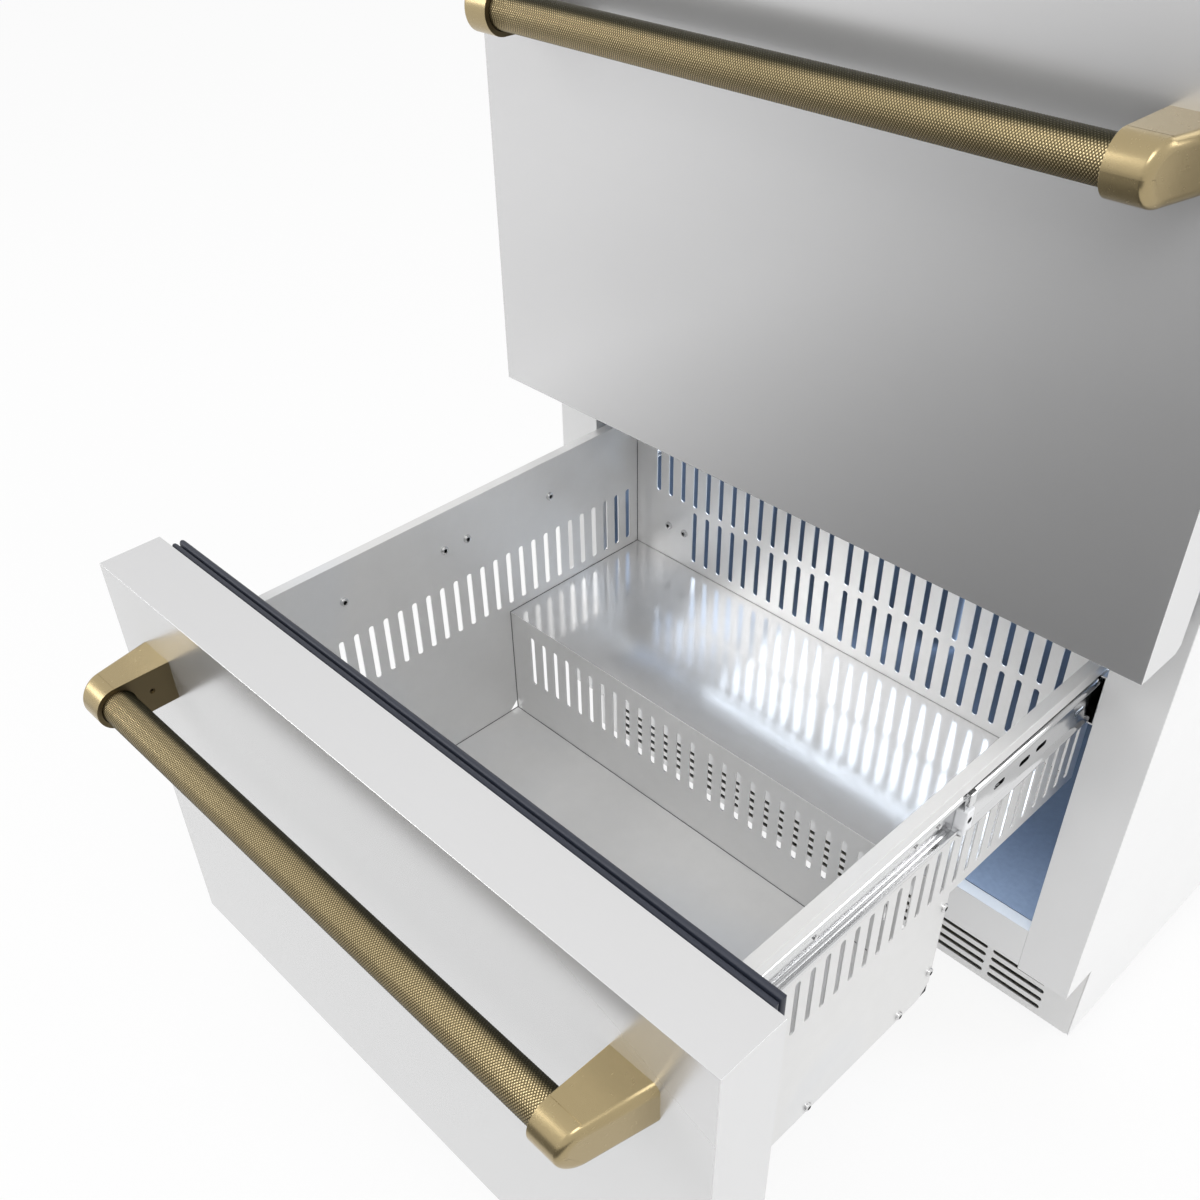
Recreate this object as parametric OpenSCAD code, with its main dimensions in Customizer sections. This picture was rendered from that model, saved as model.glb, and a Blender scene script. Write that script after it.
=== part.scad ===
// Undercounter refrigerator with two drawers, the lower one pulled open.
// The floor is at Z zero and the drawer fronts face minus Y. The origin lies
// on the floor under the middle of the whole outline.

/* [Cabinet] */
// Width of the cabinet
cab_w = 600; // [580:1:640]
// Depth of the cabinet behind the face of its frame
cab_d = 547; // [540:1:600]
// Height of the cabinet with its feet
cab_h = 870; // [850:1:890]
// Gap between the floor and the base pan
base_z = 20; // [16:1:40]
// Width of the frame beside the openings
stile_w = 46.25; // [42:0.25:50]
// Height of the toe space above the base pan
toe_h = 94; // [84:1:104]
// Depth of the toe space
toe_recess = 42; // [30:1:60]
// Height of the sill under the lower opening
sill_h = 49; // [42:1:56]
// Thickness of the outer sheets
sheet_t = 1; // [0.7:0.1:1.4]
// Thickness of the sheet that lines the inside
liner_t = 0.8; // [0.6:0.1:1.2]
// Thickness of the foam behind the liner's rear wall
back_foam = 46; // [35:1:52]

/* [Drawer fronts] */
// Distance between a front's side edge and the cabinet's side
front_reveal = 2.5; // [1:0.5:5]
// Thickness of each drawer front
front_t = 48; // [40:1:56]
// Size of the slanted edge at the back of a front's bottom
front_cut = 5; // [3:0.5:7]
// Gap between the two fronts
front_gap = 4.5; // [3:0.5:8]
// Height of the lower front's bottom edge above the toe space
front_drop = 2; // [1:0.5:4]
// Height of the cabinet top above the upper front
top_reveal = 4.7; // [3:0.1:8]
// Distance between the back of a closed front and the frame
seal_gap = 14.5; // [13:0.5:17]
// How far the lower drawer stands open
lower_open = 388; // [0:1:400]

/* [Handles] */
// Diameter of the handle bar
bar_d = 25.6; // [22:0.1:28]
// Distance between the front's face and the bar's axis
bar_reach = 42; // [34:1:50]
// Distance between the front's side edge and a bracket
bracket_inset = 37.5; // [20:0.5:80]
// Width of a bracket at the front's face
bracket_w = 37; // [34:1:44]
// Width of a bracket at the bar's axis
bracket_nose_w = 27.5; // [26:0.5:33]
// Height of a bracket
bracket_h = 33.5; // [32:0.5:38]
// Distance between the front's top edge and the bracket's top
bracket_drop = 48.5; // [30:0.5:60]
// Radius of the bracket's rounded edges
bracket_round = 6; // [3:0.5:8]

/* [Drawer boxes] */
// Distance between a box's rear wall and the liner's rear wall
box_gap = 76.5; // [72:0.5:90]
// Distance between the front's top edge and the box's rim
box_drop = 48.6; // [47:0.1:54]
// Depth of the box below its rim
well_depth = 249.4; // [235:0.1:252]
// Depth of the lower box above its raised rear part
shelf_depth = 134.4; // [130:0.1:145]
// Depth of the raised rear part of the lower box
shelf_len = 165; // [155:1:176]
// Thickness of the box's sheet
box_t = 1; // [0.7:0.1:1.2]
// Width of the rim that is folded outward
rim_w = 8; // [5:0.5:10]
// Height of the rim's outer edge, which is folded down
rim_return = 11; // [4:0.5:12]
// Length of a slot in the box
slot_l = 54; // [40:1:56]
// Width of a slot in the box
slot_w = 5.2; // [4:0.1:7]
// Distance between two slots
slot_pitch = 14.9; // [12:0.1:15.5]

/* [Slides] */
// Length of the outer and inner members, which is also the travel
slide_len = 400; // [390:1:405]
// Length of the middle member
middle_len = 340; // [300:1:350]
// Width of a slide across its three members
slide_w = 12.7; // [12:0.1:13.5]
// Height of a slide
slide_h = 45; // [42:0.5:48]
// Distance between the box's rim and the slide's middle line
slide_drop = 35.4; // [32:0.1:37]
// Distance between the frame's face and the slide's front end
slide_front = 12; // [8:1:14]

/* [Hidden] */
$fn = 48;
over = 1;
near = 0.3;
fit = 0.05;

// Levels and places of the cabinet
cab_half = cab_w / 2;
open_half = cab_half - stile_w;
toe_top = base_z + toe_h;
sill_top = toe_top + sill_h;
seal_w = 24;
seal_inset = 9;
seal_inset_top = 3;
seal_inset_low = 8.5;
seal_land = 5;
frame_t = 1.2;
frame_return = 11;
mullion_d = 40;

// Levels and places of the fronts
front_w = cab_w - 2 * front_reveal;
front_bottom = toe_top + front_drop;
front_h = (cab_h - top_reveal - front_bottom - front_gap) / 2;
upper_bottom = front_bottom + front_h + front_gap;
lower_top = front_bottom + front_h;
upper_top = upper_bottom + front_h;
front_back_y = -seal_gap;
front_face_y = -seal_gap - front_t;
seal_reach = seal_inset_low + seal_w + seal_land;
mullion_bottom = lower_top - seal_reach;
mullion_top = upper_bottom + seal_reach;
rail_bottom = upper_top - seal_reach;
plate_t = 1.2;
plinth_d = 12;
plinth_gap = 1.5;
slant_share = sqrt(2) - 1;

// Places of the handles
nose_r = bracket_h / 2;
bar_r = bar_d / 2;
bar_drop = bracket_drop + nose_r;
bar_socket = 20;
handle_y = front_face_y - bar_reach;
bracket_x = front_w / 2 - bracket_inset - bracket_w;
nose_y = front_face_y - bar_reach - nose_r;
taper_share = (bracket_w - bracket_nose_w) / bar_reach;
lean_share = sqrt(1 + taper_share * taper_share);
function bracket_end(y) = bracket_x + bracket_w - taper_share * (front_face_y - y);
bolt_r = 2.5;
bolt_head_r = 5;
bolt_head_h = 3.5;
bolt_in = 14;
set_screw_r = 2;
set_screw_l = 8;
set_screw_y = 17;
set_screw_deep = 1.2;
hex_r = 1.1;
hex_deep = 2;

// The reach of the whole outline, which places the origin
front_reach = lower_open - front_face_y + bar_reach + nose_r;
inlet_flange_t = 3;
face_y = (front_reach - cab_d - inlet_flange_t) / 2;

// Places of the slides and the boxes
slide_spacer = 3.4;
box_half = open_half - slide_spacer - slide_w;
box_in = box_half - box_t;
liner_back = cab_d - sheet_t - back_foam;
box_back_y = liner_back - box_gap;
step_riser_y = box_back_y - shelf_len;
box_front_y = front_back_y + plinth_d;
slide_back = slide_front + slide_len;
middle_lag = 40;
middle_front = slide_front + middle_lag;
member_t = 1.5;
member_gap = 0.4;
ball_gap = 2.4;
middle_h = slide_h - 2 * member_t - 2 * member_gap;
inner_h = middle_h - 2 * member_t - 2 * member_gap;
outer_lip = 9.6;
web_gap = 1.2;
retainer_l = 9;
retainer_more = 0.6;
spacer_l = 9;
hole_l = 13;
hole_w = 5;
hole_ys = [33, 64, 85, 135];

// Slots of the boxes
side_slot_last = 13.4;
side_slot_first = 30;
side_slots = 1 + floor((box_back_y - box_front_y - side_slot_first - side_slot_last) / slot_pitch);
side_slot_drop = 98.4;
back_slots = 14;
back_slots_low = 11;
centre_gap = 20;
back_pitch = 15.25;
back_row_gap = 5.5;
step_slot_drop = 177.2;
step_chamfer = 12;

// Screws of the boxes
screw_r = 1.9;
screw_head_r = 3.7;
screw_head_h = 2.2;
screw_l = 3.2;
side_screw_ys = [106, 208, 232.5, 327];
back_screw_xs = [174.5, 194.4];
edge_screw_backs = [145, 37];
edge_screw_up = 6;
riser_screw_in = 3;
riser_screw_low = 27;
riser_screw_high = 13.5;

// Gasket
gasket_base_t = 4;
gasket_bulb_inset = 1;
gasket_bulb_w = 15;
gasket_groove_w = 1.6;
gasket_groove_d = 3;
gasket_t = seal_gap - near;

// Liner and foam
hump_clear = 12.5;
hump_y = step_riser_y + box_t + hump_clear;
hump_top = lower_top - box_drop - shelf_depth - box_t - hump_clear;
liner_half = open_half - over;
liner_front = frame_return + frame_t;
liner_bottom = sill_top + liner_t;
liner_top = rail_bottom - liner_t;
floor_foam = 45;
hump_foam = 40;
foam_bottom = sill_top - floor_foam;
room_front = hump_y + hump_foam;
room_top = hump_top - hump_foam;

// Toe grille
grille_t = 1.2;
grille_slot_l = 54.6;
grille_slot_w = 5;
grille_pitch = 60.2;
grille_cols = 9;
grille_rows = 4;
grille_row_gap = 10.9;
grille_first = 11;
sill_lift = 3.5;
grille_round = 4;
grille_lap = 5;

// Base pan and feet
pan_t = 1.5;
pan_rim = 25;
boss_r = 10;
boss_h = 18;
foot_r = 19;
foot_h = 9;
foot_lip = 2;
stem_r = 5;
stem_over = 6;
stem_top = base_z + boss_h + stem_over;
foot_in_x = 45;
foot_front_in = 40;
foot_back_in = 45;
nut_r = 9;
nut_h = 5;

// Fasteners of the worktop
top_hole_r = 3;
top_hole_x = 220;
top_hole_y = 30;

// Rear grille and inlet
vent_slots = 9;
vent_pitch = 14;
vent_w = 5;
vent_l = 150;
vent_x = 125;
vent_z = 45;
inlet_r = 9;
inlet_flange_r = 13;
inlet_bore_r = 4.5;
inlet_l = 14;
inlet_side = 50;
inlet_x = cab_half - inlet_side;
inlet_up = 70;

// Compressor
comp_x = 165;
comp_back = 118;
comp_r = 76;
comp_dome = 34;
comp_foot_t = 3;
comp_foot_w = 200;
comp_foot_d = 120;
grommet_r = 9;
grommet_h = 14;
grommet_x = 84;
grommet_y = 45;
comp_cap_w = 46;
comp_cap_d = 30;
comp_cap_h = 52;

// Condenser and its fan
cond_x = -255;
cond_w = 210;
cond_h = 170;
cond_d = 44;
cond_gap = 12;
fin_t = 0.6;
fin_count = 22;
tube_r = 4;
tube_rows = 5;
tube_cols = 2;
shroud_t = 2;
shroud_d = 26;
cfan_r = 70;
cfan_tip = 3;
cfan_hub_r = 19;
cfan_hub_h = 20;
blade_t = 2;
blade_l = 20;
blade_tilt = 32;
motor_r = 24;
motor_h = 34;
arm_w = 9;
arm_t = 3;
axle_r = 3;

// Evaporator, its cover and its fan
cover_room = 51.5;
cover_t = 2;
cover_y = liner_back - cover_room;
cover_side = 20;
cover_up = 24;
cover_top_gap = 26;
cover_slots = 12;
evap_w = 380;
evap_h = 170;
evap_d = 26;
evap_up = 34;
evap_fins = 24;
efan_r = 52;
efan_hub_r = 15;
efan_hub_h = 12;
efan_blade_l = 11;
efan_motor_r = 20;
efan_motor_h = 12;
efan_up = 110;

// Small inner pieces
lamp_w = 150;
lamp_d = 26;
lamp_h = 6;
lamp_y = 60;
module_w = 70;
module_d = 34;
module_h = 7;
module_y = 24;
module_x = 150;
tray_w = 170;
tray_d = 120;
tray_t = 1.5;
drier_r = 10;
drier_l = 70;
line_r = 3.2;
line_gap = 0.4;
line_off = 8;

// Puts what is drawn from the frame's face into the part's own place
module placed(open = 0) {
    translate([0, face_y - open, 0]) children();
}

// A block given by its two opposite corners
module block(low, high) {
    translate(low) cube([high[0] - low[0], high[1] - low[1], high[2] - low[2]]);
}

// A round bar along X, Y or Z that starts at a point
module bar_x(at, r, l) {
    translate(at) rotate([0, 90, 0]) cylinder(r = r, h = l);
}

module bar_y(at, r, l) {
    translate(at) rotate([-90, 0, 0]) cylinder(r = r, h = l);
}

module bar_z(at, r, l) {
    translate(at) cylinder(r = r, h = l);
}

// A slot with round ends through a sheet that faces X, long along Z
module slot_x(at, l, w, t) {
    straight = l - w;
    block([at[0], at[1] - w / 2, at[2] - straight / 2], [at[0] + t, at[1] + w / 2, at[2] + straight / 2]);
    for (end = [-1, 1]) {
        bar_x([at[0], at[1], at[2] + end * straight / 2], w / 2, t);
    }
}

// The same slot through a sheet that faces Y
module slot_y(at, l, w, t) {
    straight = l - w;
    block([at[0] - w / 2, at[1], at[2] - straight / 2], [at[0] + w / 2, at[1] + t, at[2] + straight / 2]);
    for (end = [-1, 1]) {
        bar_y([at[0], at[1], at[2] + end * straight / 2], w / 2, t);
    }
}

// A slot through a sheet that faces Y, long along X
module slot_y_wide(at, l, w, t) {
    straight = l - w;
    block([at[0] - straight / 2, at[1], at[2] - w / 2], [at[0] + straight / 2, at[1] + t, at[2] + w / 2]);
    for (end = [-1, 1]) {
        bar_y([at[0] + end * straight / 2, at[1], at[2]], w / 2, t);
    }
}

// A slot through a sheet that faces X, long along Y
module slot_x_wide(at, l, w, t) {
    straight = l - w;
    block([at[0], at[1] - straight / 2, at[2] - w / 2], [at[0] + t, at[1] + straight / 2, at[2] + w / 2]);
    for (end = [-1, 1]) {
        bar_x([at[0], at[1] + end * straight / 2, at[2]], w / 2, t);
    }
}

// A flat ring that faces Y, between two rectangles
module ring_y(half, bottom, top, w, y0, y1) {
    difference() {
        block([-half, y0, bottom], [half, y1, top]);
        block([-half + w, y0 - over, bottom + w], [half - w, y1 + over, top - w]);
    }
}

// Side panel of the cabinet, on the left for minus one
module side_panel(side) {
    x = side < 0 ? -cab_half : cab_half - sheet_t;
    difference() {
        block([x, frame_t, base_z], [x + sheet_t, cab_d, cab_h - sheet_t]);
        block([x - over, 0, 0], [x + sheet_t + over, toe_recess, toe_top]);
    }
}

module side_panel_left() {
    placed() color("whitesmoke") side_panel(-1);
}

module side_panel_right() {
    placed() color("whitesmoke") side_panel(1);
}

module top_panel() {
    placed() color("whitesmoke") difference() {
        block([-cab_half, frame_t, cab_h - sheet_t], [cab_half, cab_d, cab_h]);
        for (x = [-top_hole_x, top_hole_x]) {
            bar_z([x, top_hole_y, cab_h - sheet_t - over], top_hole_r, sheet_t + 2 * over);
        }
    }
}

module back_panel() {
    placed() color("silver") difference() {
        block([-cab_half + sheet_t, cab_d - sheet_t, base_z], [cab_half - sheet_t, cab_d, cab_h - sheet_t]);
        for (x = [-vent_x, vent_x], i = [0:vent_slots - 1]) {
            slot_y_wide([x, cab_d - sheet_t - over, base_z + vent_z + i * vent_pitch],
                vent_l, vent_w, sheet_t + 2 * over);
        }
        bar_y([inlet_x, cab_d - sheet_t - over, base_z + inlet_up], inlet_r + fit, sheet_t + 2 * over);
    }
}

// Middle of each foot, from left to right and front to back
foot_x = cab_half - foot_in_x;
foot_front_y = toe_recess + foot_front_in;
foot_back_y = cab_d - foot_back_in;

module base_pan() {
    half = cab_half - sheet_t;
    front = toe_recess + grille_t;
    back = cab_d - sheet_t;
    placed() color("darkgray") difference() {
        union() {
            block([-half, front, base_z], [half, back, base_z + pan_t]);
            for (x = [-half, half - pan_t]) {
                block([x, front, base_z], [x + pan_t, back, base_z + pan_rim]);
            }
            for (x = [-foot_x, foot_x], y = [foot_front_y, foot_back_y]) {
                bar_z([x, y, base_z], boss_r, boss_h);
            }
        }
        for (x = [-foot_x, foot_x], y = [foot_front_y, foot_back_y]) {
            bar_z([x, y, base_z - over], stem_r + fit, boss_h + 2 * over);
        }
    }
}

// Frame around the two openings: stiles, top rail and the hollow middle bar
module front_frame() {
    placed() color("lightgray") difference() {
        union() {
            for (side = [-1, 1]) {
                a = side < 0 ? -cab_half : open_half;
                block([a, 0, toe_top], [a + stile_w, frame_t, cab_h]);
                b = side < 0 ? -open_half - frame_t : open_half;
                block([b, 0, sill_top], [b + frame_t, liner_front, rail_bottom + frame_t]);
            }
            block([-open_half, 0, rail_bottom], [open_half, frame_t, cab_h]);
            block([-open_half, 0, rail_bottom], [open_half, liner_front, rail_bottom + frame_t]);
            block([-open_half, 0, mullion_bottom], [open_half, frame_return, mullion_top]);
            block([-liner_half, 0, mullion_bottom], [liner_half, mullion_d, mullion_top]);
        }
        block([-liner_half + frame_t, frame_t, mullion_bottom + frame_t],
            [liner_half - frame_t, mullion_d - frame_t, mullion_top - frame_t]);
    }
}

// Plate under the lower opening, with its folded top edge
module sill_plate() {
    placed() color("lightgray") union() {
        block([-open_half, 0, toe_top + sill_lift], [open_half, frame_t, sill_top]);
        block([-open_half, 0, sill_top - frame_t], [open_half, liner_front, sill_top]);
    }
}

module toe_grille() {
    half = cab_half - sheet_t;
    top = toe_top + grille_lap;
    slot_mid = (grille_cols - 1) / 2;
    placed() color("lightgray") difference() {
        union() {
            block([-half, toe_recess, base_z + grille_round], [half, toe_recess + grille_t, top]);
            block([-half + grille_round, toe_recess, base_z],
                [half - grille_round, toe_recess + grille_t, top]);
            for (x = [-half + grille_round, half - grille_round]) {
                bar_y([x, toe_recess, base_z + grille_round], grille_round, grille_t);
            }
        }
        for (i = [0:grille_cols - 1], j = [0:grille_rows - 1]) {
            slot_y_wide([(i - slot_mid) * grille_pitch, toe_recess - over,
                base_z + grille_first + j * grille_row_gap],
                grille_slot_l, grille_slot_w, grille_t + 2 * over);
        }
    }
}

// Place of the pipe that rises through the foam to the evaporator
riser_y = liner_back - near - evap_d / 2;

// Space inside the liner, grown outward by a thickness
module inner_space(grow) {
    difference() {
        block([-liner_half - grow, liner_front - grow, liner_bottom - grow],
            [liner_half + grow, liner_back + grow, liner_top + grow]);
        block([-liner_half - grow - over, hump_y + grow, liner_bottom - grow - over],
            [liner_half + grow + over, liner_back + grow + over, hump_top - grow]);
    }
}

module liner() {
    placed() color("lightsteelblue") difference() {
        inner_space(liner_t);
        inner_space(0);
        block([-liner_half, 0, liner_bottom], [liner_half, liner_front + over, liner_top]);
        bar_z([0, riser_y, hump_top - liner_t - over], line_r + line_gap, liner_t + 2 * over);
    }
}

module insulation() {
    half = cab_half - sheet_t;
    placed() color("khaki") difference() {
        block([-half, frame_t, foam_bottom], [half, cab_d - sheet_t, cab_h - sheet_t]);
        inner_space(liner_t);
        block([-open_half - frame_t, 0, sill_top - frame_t],
            [open_half + frame_t, liner_front, rail_bottom + frame_t]);
        block([-half - over, room_front, 0], [half + over, cab_d, room_top]);
        block([-half - over, 0, 0], [half + over, toe_recess + grille_t, toe_top + grille_lap]);
        bar_z([0, riser_y, room_top - over], line_r + line_gap, hump_foam + 2 * over);
    }
}

// Levelling foot at a place: its pad, its stem and its lock nut
module foot(x, y) {
    placed() color("dimgray") union() {
        bar_z([x, y, 0], foot_r, foot_h - foot_lip);
        bar_z([x, y, foot_h - foot_lip], foot_r - foot_lip, foot_lip);
        bar_z([x, y, 0], stem_r, stem_top);
        translate([x, y, foot_h]) cylinder(r = nut_r, h = nut_h, $fn = 6);
    }
}

module foot_front_left() {
    foot(-foot_x, foot_front_y);
}

module foot_front_right() {
    foot(foot_x, foot_front_y);
}

module foot_back_left() {
    foot(-foot_x, foot_back_y);
}

module foot_back_right() {
    foot(foot_x, foot_back_y);
}

// Bottom of what stands on the base pan
pan_top = base_z + pan_t;
comp_y = cab_d - comp_back;
comp_base = pan_top + grommet_h;
tray_h = 30;
tray_clear = 33.4;
comp_h = room_top - tray_clear - tray_h - comp_foot_t - comp_base;

module compressor() {
    wall_h = comp_h - comp_dome;
    dome_r = (comp_r * comp_r + comp_dome * comp_dome) / (2 * comp_dome);
    placed() color("black") difference() {
        union() {
            translate([comp_x, comp_y, comp_base + comp_foot_t]) rotate_extrude() union() {
                square([comp_r, wall_h]);
                translate([0, wall_h]) intersection() {
                    translate([0, comp_dome - dome_r]) circle(r = dome_r, $fn = 96);
                    square([comp_r, comp_dome]);
                }
            }
            block([comp_x - comp_foot_w / 2, comp_y - comp_foot_d / 2, comp_base],
                [comp_x + comp_foot_w / 2, comp_y + comp_foot_d / 2, comp_base + comp_foot_t]);
            block([comp_x - comp_cap_w / 2, comp_y - comp_r - comp_cap_d, comp_base + comp_foot_t],
                [comp_x + comp_cap_w / 2, comp_y, comp_base + comp_foot_t + comp_cap_h]);
        }
        for (x = [-grommet_x, grommet_x], y = [-grommet_y, grommet_y]) {
            bar_z([comp_x + x, comp_y + y, comp_base - over], stem_r, comp_foot_t + 2 * over);
        }
    }
}

module compressor_grommets() {
    placed() color("dimgray") for (x = [-grommet_x, grommet_x], y = [-grommet_y, grommet_y]) {
        union() {
            bar_z([comp_x + x, comp_y + y, pan_top], grommet_r, grommet_h);
            bar_z([comp_x + x, comp_y + y, pan_top], stem_r - fit, grommet_h + 2 * comp_foot_t);
        }
    }
}

// Fins on straight tubes, with the bends at both ends
module coil_block(at, w, d, h, fins, rows, cols) {
    row_step = h / rows;
    col_step = d / cols;
    fin_step = (w - 2 * row_step) / (fins - 1);
    union() {
        for (i = [0:fins - 1]) {
            block([at[0] + row_step + i * fin_step - fin_t / 2, at[1], at[2]],
                [at[0] + row_step + i * fin_step + fin_t / 2, at[1] + d, at[2] + h]);
        }
        for (j = [0:rows - 1], k = [0:cols - 1]) {
            bar_x([at[0], at[1] + (k + 0.5) * col_step, at[2] + (j + 0.5) * row_step], tube_r, w);
        }
        for (j = [0:rows - 1], x = [at[0], at[0] + w - 2 * tube_r]) {
            block([x, at[1] + col_step / 2 - tube_r, at[2] + (j + 0.5) * row_step - tube_r],
                [x + 2 * tube_r, at[1] + d - col_step / 2 + tube_r, at[2] + (j + 0.5) * row_step + tube_r]);
        }
    }
}

cond_y = room_front + cond_gap;
shroud_y = cond_y + cond_d;
cfan_x = cond_x + cond_w / 2;
cfan_z = pan_top + cond_h / 2;

module condenser() {
    placed() color("dimgray") coil_block([cond_x, cond_y, pan_top], cond_w, cond_d, cond_h,
        fin_count, tube_rows, tube_cols);
}

// Square plate with a ring round the fan, and two arms that carry the motor
module condenser_shroud() {
    hole_r = cfan_r + cfan_tip;
    arm_y = shroud_y + shroud_d;
    axle_y = shroud_y + cfan_hub_h / 2;
    placed() color("black") union() {
        difference() {
            union() {
                block([cond_x, shroud_y, pan_top],
                    [cond_x + cond_w, shroud_y + shroud_t, pan_top + cond_h]);
                bar_y([cfan_x, shroud_y, cfan_z], hole_r + shroud_t, shroud_d);
            }
            bar_y([cfan_x, shroud_y - over, cfan_z], hole_r, shroud_d + 2 * over);
        }
        for (turn = [0, 90]) {
            translate([cfan_x, arm_y, cfan_z]) rotate([0, turn, 0])
                block([-hole_r - shroud_t, 0, -arm_w / 2], [hole_r + shroud_t, arm_t, arm_w / 2]);
        }
        bar_y([cfan_x, arm_y, cfan_z], motor_r, motor_h);
        bar_y([cfan_x, axle_y, cfan_z], axle_r - fit, arm_y - axle_y + over);
    }
}

// Axial fan along Y: a hub with a bore and tilted blades
module rotor(at, r, hub_r, hub_h, reach, count, bore) {
    translate(at) rotate([-90, 0, 0]) difference() {
        union() {
            cylinder(r = hub_r, h = hub_h);
            for (i = [0:count - 1]) {
                rotate([0, 0, i * 360 / count]) translate([(hub_r + r) / 2 - blade_t, 0, hub_h / 2])
                    rotate([blade_tilt, 0, 0])
                    cube([r - hub_r, reach, blade_t], center = true);
            }
        }
        translate([0, 0, -over]) cylinder(r = bore, h = hub_h + 2 * over);
    }
}

module condenser_fan() {
    placed() color("darkslategray") rotor([cfan_x, shroud_y + near + arm_t, cfan_z], cfan_r,
        cfan_hub_r, cfan_hub_h, blade_l, 5, axle_r);
}

// Tray for the melt water, on the top of the compressor
module drip_tray() {
    bottom = comp_base + comp_foot_t + comp_h;
    low = [comp_x - tray_w / 2, comp_y - tray_d / 2, bottom];
    high = [comp_x + tray_w / 2, comp_y + tray_d / 2, bottom + tray_h];
    placed() color("gray") difference() {
        block(low, high);
        block([low[0] + tray_t, low[1] + tray_t, low[2] + tray_t],
            [high[0] - tray_t, high[1] - tray_t, high[2] + over]);
    }
}

// Pipes from the compressor to the condenser and up to the evaporator
module refrigerant_lines() {
    run_z = comp_base + comp_foot_t + comp_h / 2;
    shell_x = comp_x - comp_r;
    coil_x = cond_x + cond_w;
    coil_y = cond_y + cond_d / 2;
    drop_x = coil_x + line_off;
    placed() color("peru") union() {
        bar_x([drop_x, comp_y, run_z], line_r, shell_x - drop_x);
        bar_y([drop_x, coil_y, run_z], line_r, comp_y - coil_y);
        bar_x([coil_x, coil_y, run_z], line_r, line_off);
        bar_x([shell_x - drier_l, comp_y, run_z], drier_r, drier_l / 2);
        bar_y([0, comp_y, run_z], line_r, riser_y - comp_y);
        bar_z([0, riser_y, run_z], line_r, hump_top + evap_up - run_z);
        for (at = [[drop_x, comp_y, run_z], [drop_x, coil_y, run_z], [0, riser_y, run_z]]) {
            translate(at) sphere(r = line_r);
        }
    }
}

module evaporator() {
    placed() color("silver") coil_block([-evap_w / 2, liner_back - evap_d - near, hump_top + evap_up], evap_w,
        evap_d, evap_h, evap_fins, tube_rows, 1);
}

efan_z = hump_top + evap_up + evap_h + efan_up;
cover_bottom = hump_top + cover_up;
cover_top = liner_top - cover_top_gap;
cover_half = liner_half - cover_side;

// Cover of the evaporator, with the fan's hole, its arms and its motor
module evaporator_cover() {
    hole_r = efan_r + cfan_tip;
    arm_y = cover_y + cover_t + efan_hub_h + 2 * near;
    placed() color("white") union() {
        difference() {
            union() {
                block([-cover_half, cover_y, cover_bottom], [cover_half, cover_y + cover_t, cover_top]);
                for (x = [-cover_half, cover_half - cover_t]) {
                    block([x, cover_y, cover_bottom], [x + cover_t, liner_back, cover_top]);
                }
                block([-cover_half, cover_y, cover_top - cover_t], [cover_half, liner_back, cover_top]);
            }
            bar_y([0, cover_y - over, efan_z], hole_r, cover_t + 2 * over);
            for (i = [0:cover_slots - 1]) {
                slot_y([(i - (cover_slots - 1) / 2) * 2 * slot_pitch, cover_y - over,
                    cover_bottom + slot_l], slot_l, slot_w, cover_t + 2 * over);
            }
        }
        for (turn = [0, 90]) {
            translate([0, arm_y, efan_z]) rotate([0, turn, 0])
                block([-hole_r - arm_w, 0, -arm_w / 2], [hole_r + arm_w, arm_t, arm_w / 2]);
        }
        for (turn = [0:90:270]) {
            translate([0, cover_y + cover_t / 2, efan_z]) rotate([0, turn, 0])
                block([hole_r + arm_t, 0, -arm_w / 2],
                    [hole_r + arm_w, arm_y - cover_y + arm_t / 2, arm_w / 2]);
        }
        bar_y([0, arm_y, efan_z], efan_motor_r, efan_motor_h);
        bar_y([0, cover_y + cover_t, efan_z], axle_r - fit, arm_y - cover_y);
    }
}

module evaporator_fan() {
    placed() color("ghostwhite") rotor([0, cover_y + cover_t + near, efan_z], efan_r, efan_hub_r,
        efan_hub_h, efan_blade_l, 5, axle_r);
}

module interior_lamp() {
    placed() color("white") block([-lamp_w / 2, lamp_y, liner_top - lamp_h],
        [lamp_w / 2, lamp_y + lamp_d, liner_top]);
}

module control_module() {
    placed() color("black") block([module_x, module_y, liner_top - module_h],
        [module_x + module_w, module_y + module_d, liner_top]);
}

module cord_gland() {
    placed() color("black") difference() {
        union() {
            bar_y([inlet_x, cab_d - inlet_l, base_z + inlet_up], inlet_r, inlet_l);
            bar_y([inlet_x, cab_d, base_z + inlet_up], inlet_flange_r, inlet_flange_t);
        }
        bar_y([inlet_x, cab_d - inlet_l - over, base_z + inlet_up], inlet_bore_r,
            inlet_l + inlet_flange_t + 2 * over);
    }
}

// Middle line of the slides of a drawer, from the top of its front
function slide_z(front_top) = front_top - box_drop - slide_drop;

// A channel that runs along Y, with its web at x0 and its lips toward the x1 side
module channel(x0, x1, z, h, t, y0, y1) {
    web = x1 > x0 ? [x0, x0 + t] : [x0 - t, x0];
    lip = x1 > x0 ? [x0, x1] : [x1, x0];
    block([web[0], y0, z - h / 2], [web[1], y1, z + h / 2]);
    for (s = [-1, 1]) {
        a = s < 0 ? z - h / 2 : z + h / 2 - t;
        block([lip[0], y0, a], [lip[1], y1, a + t]);
    }
}

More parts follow.
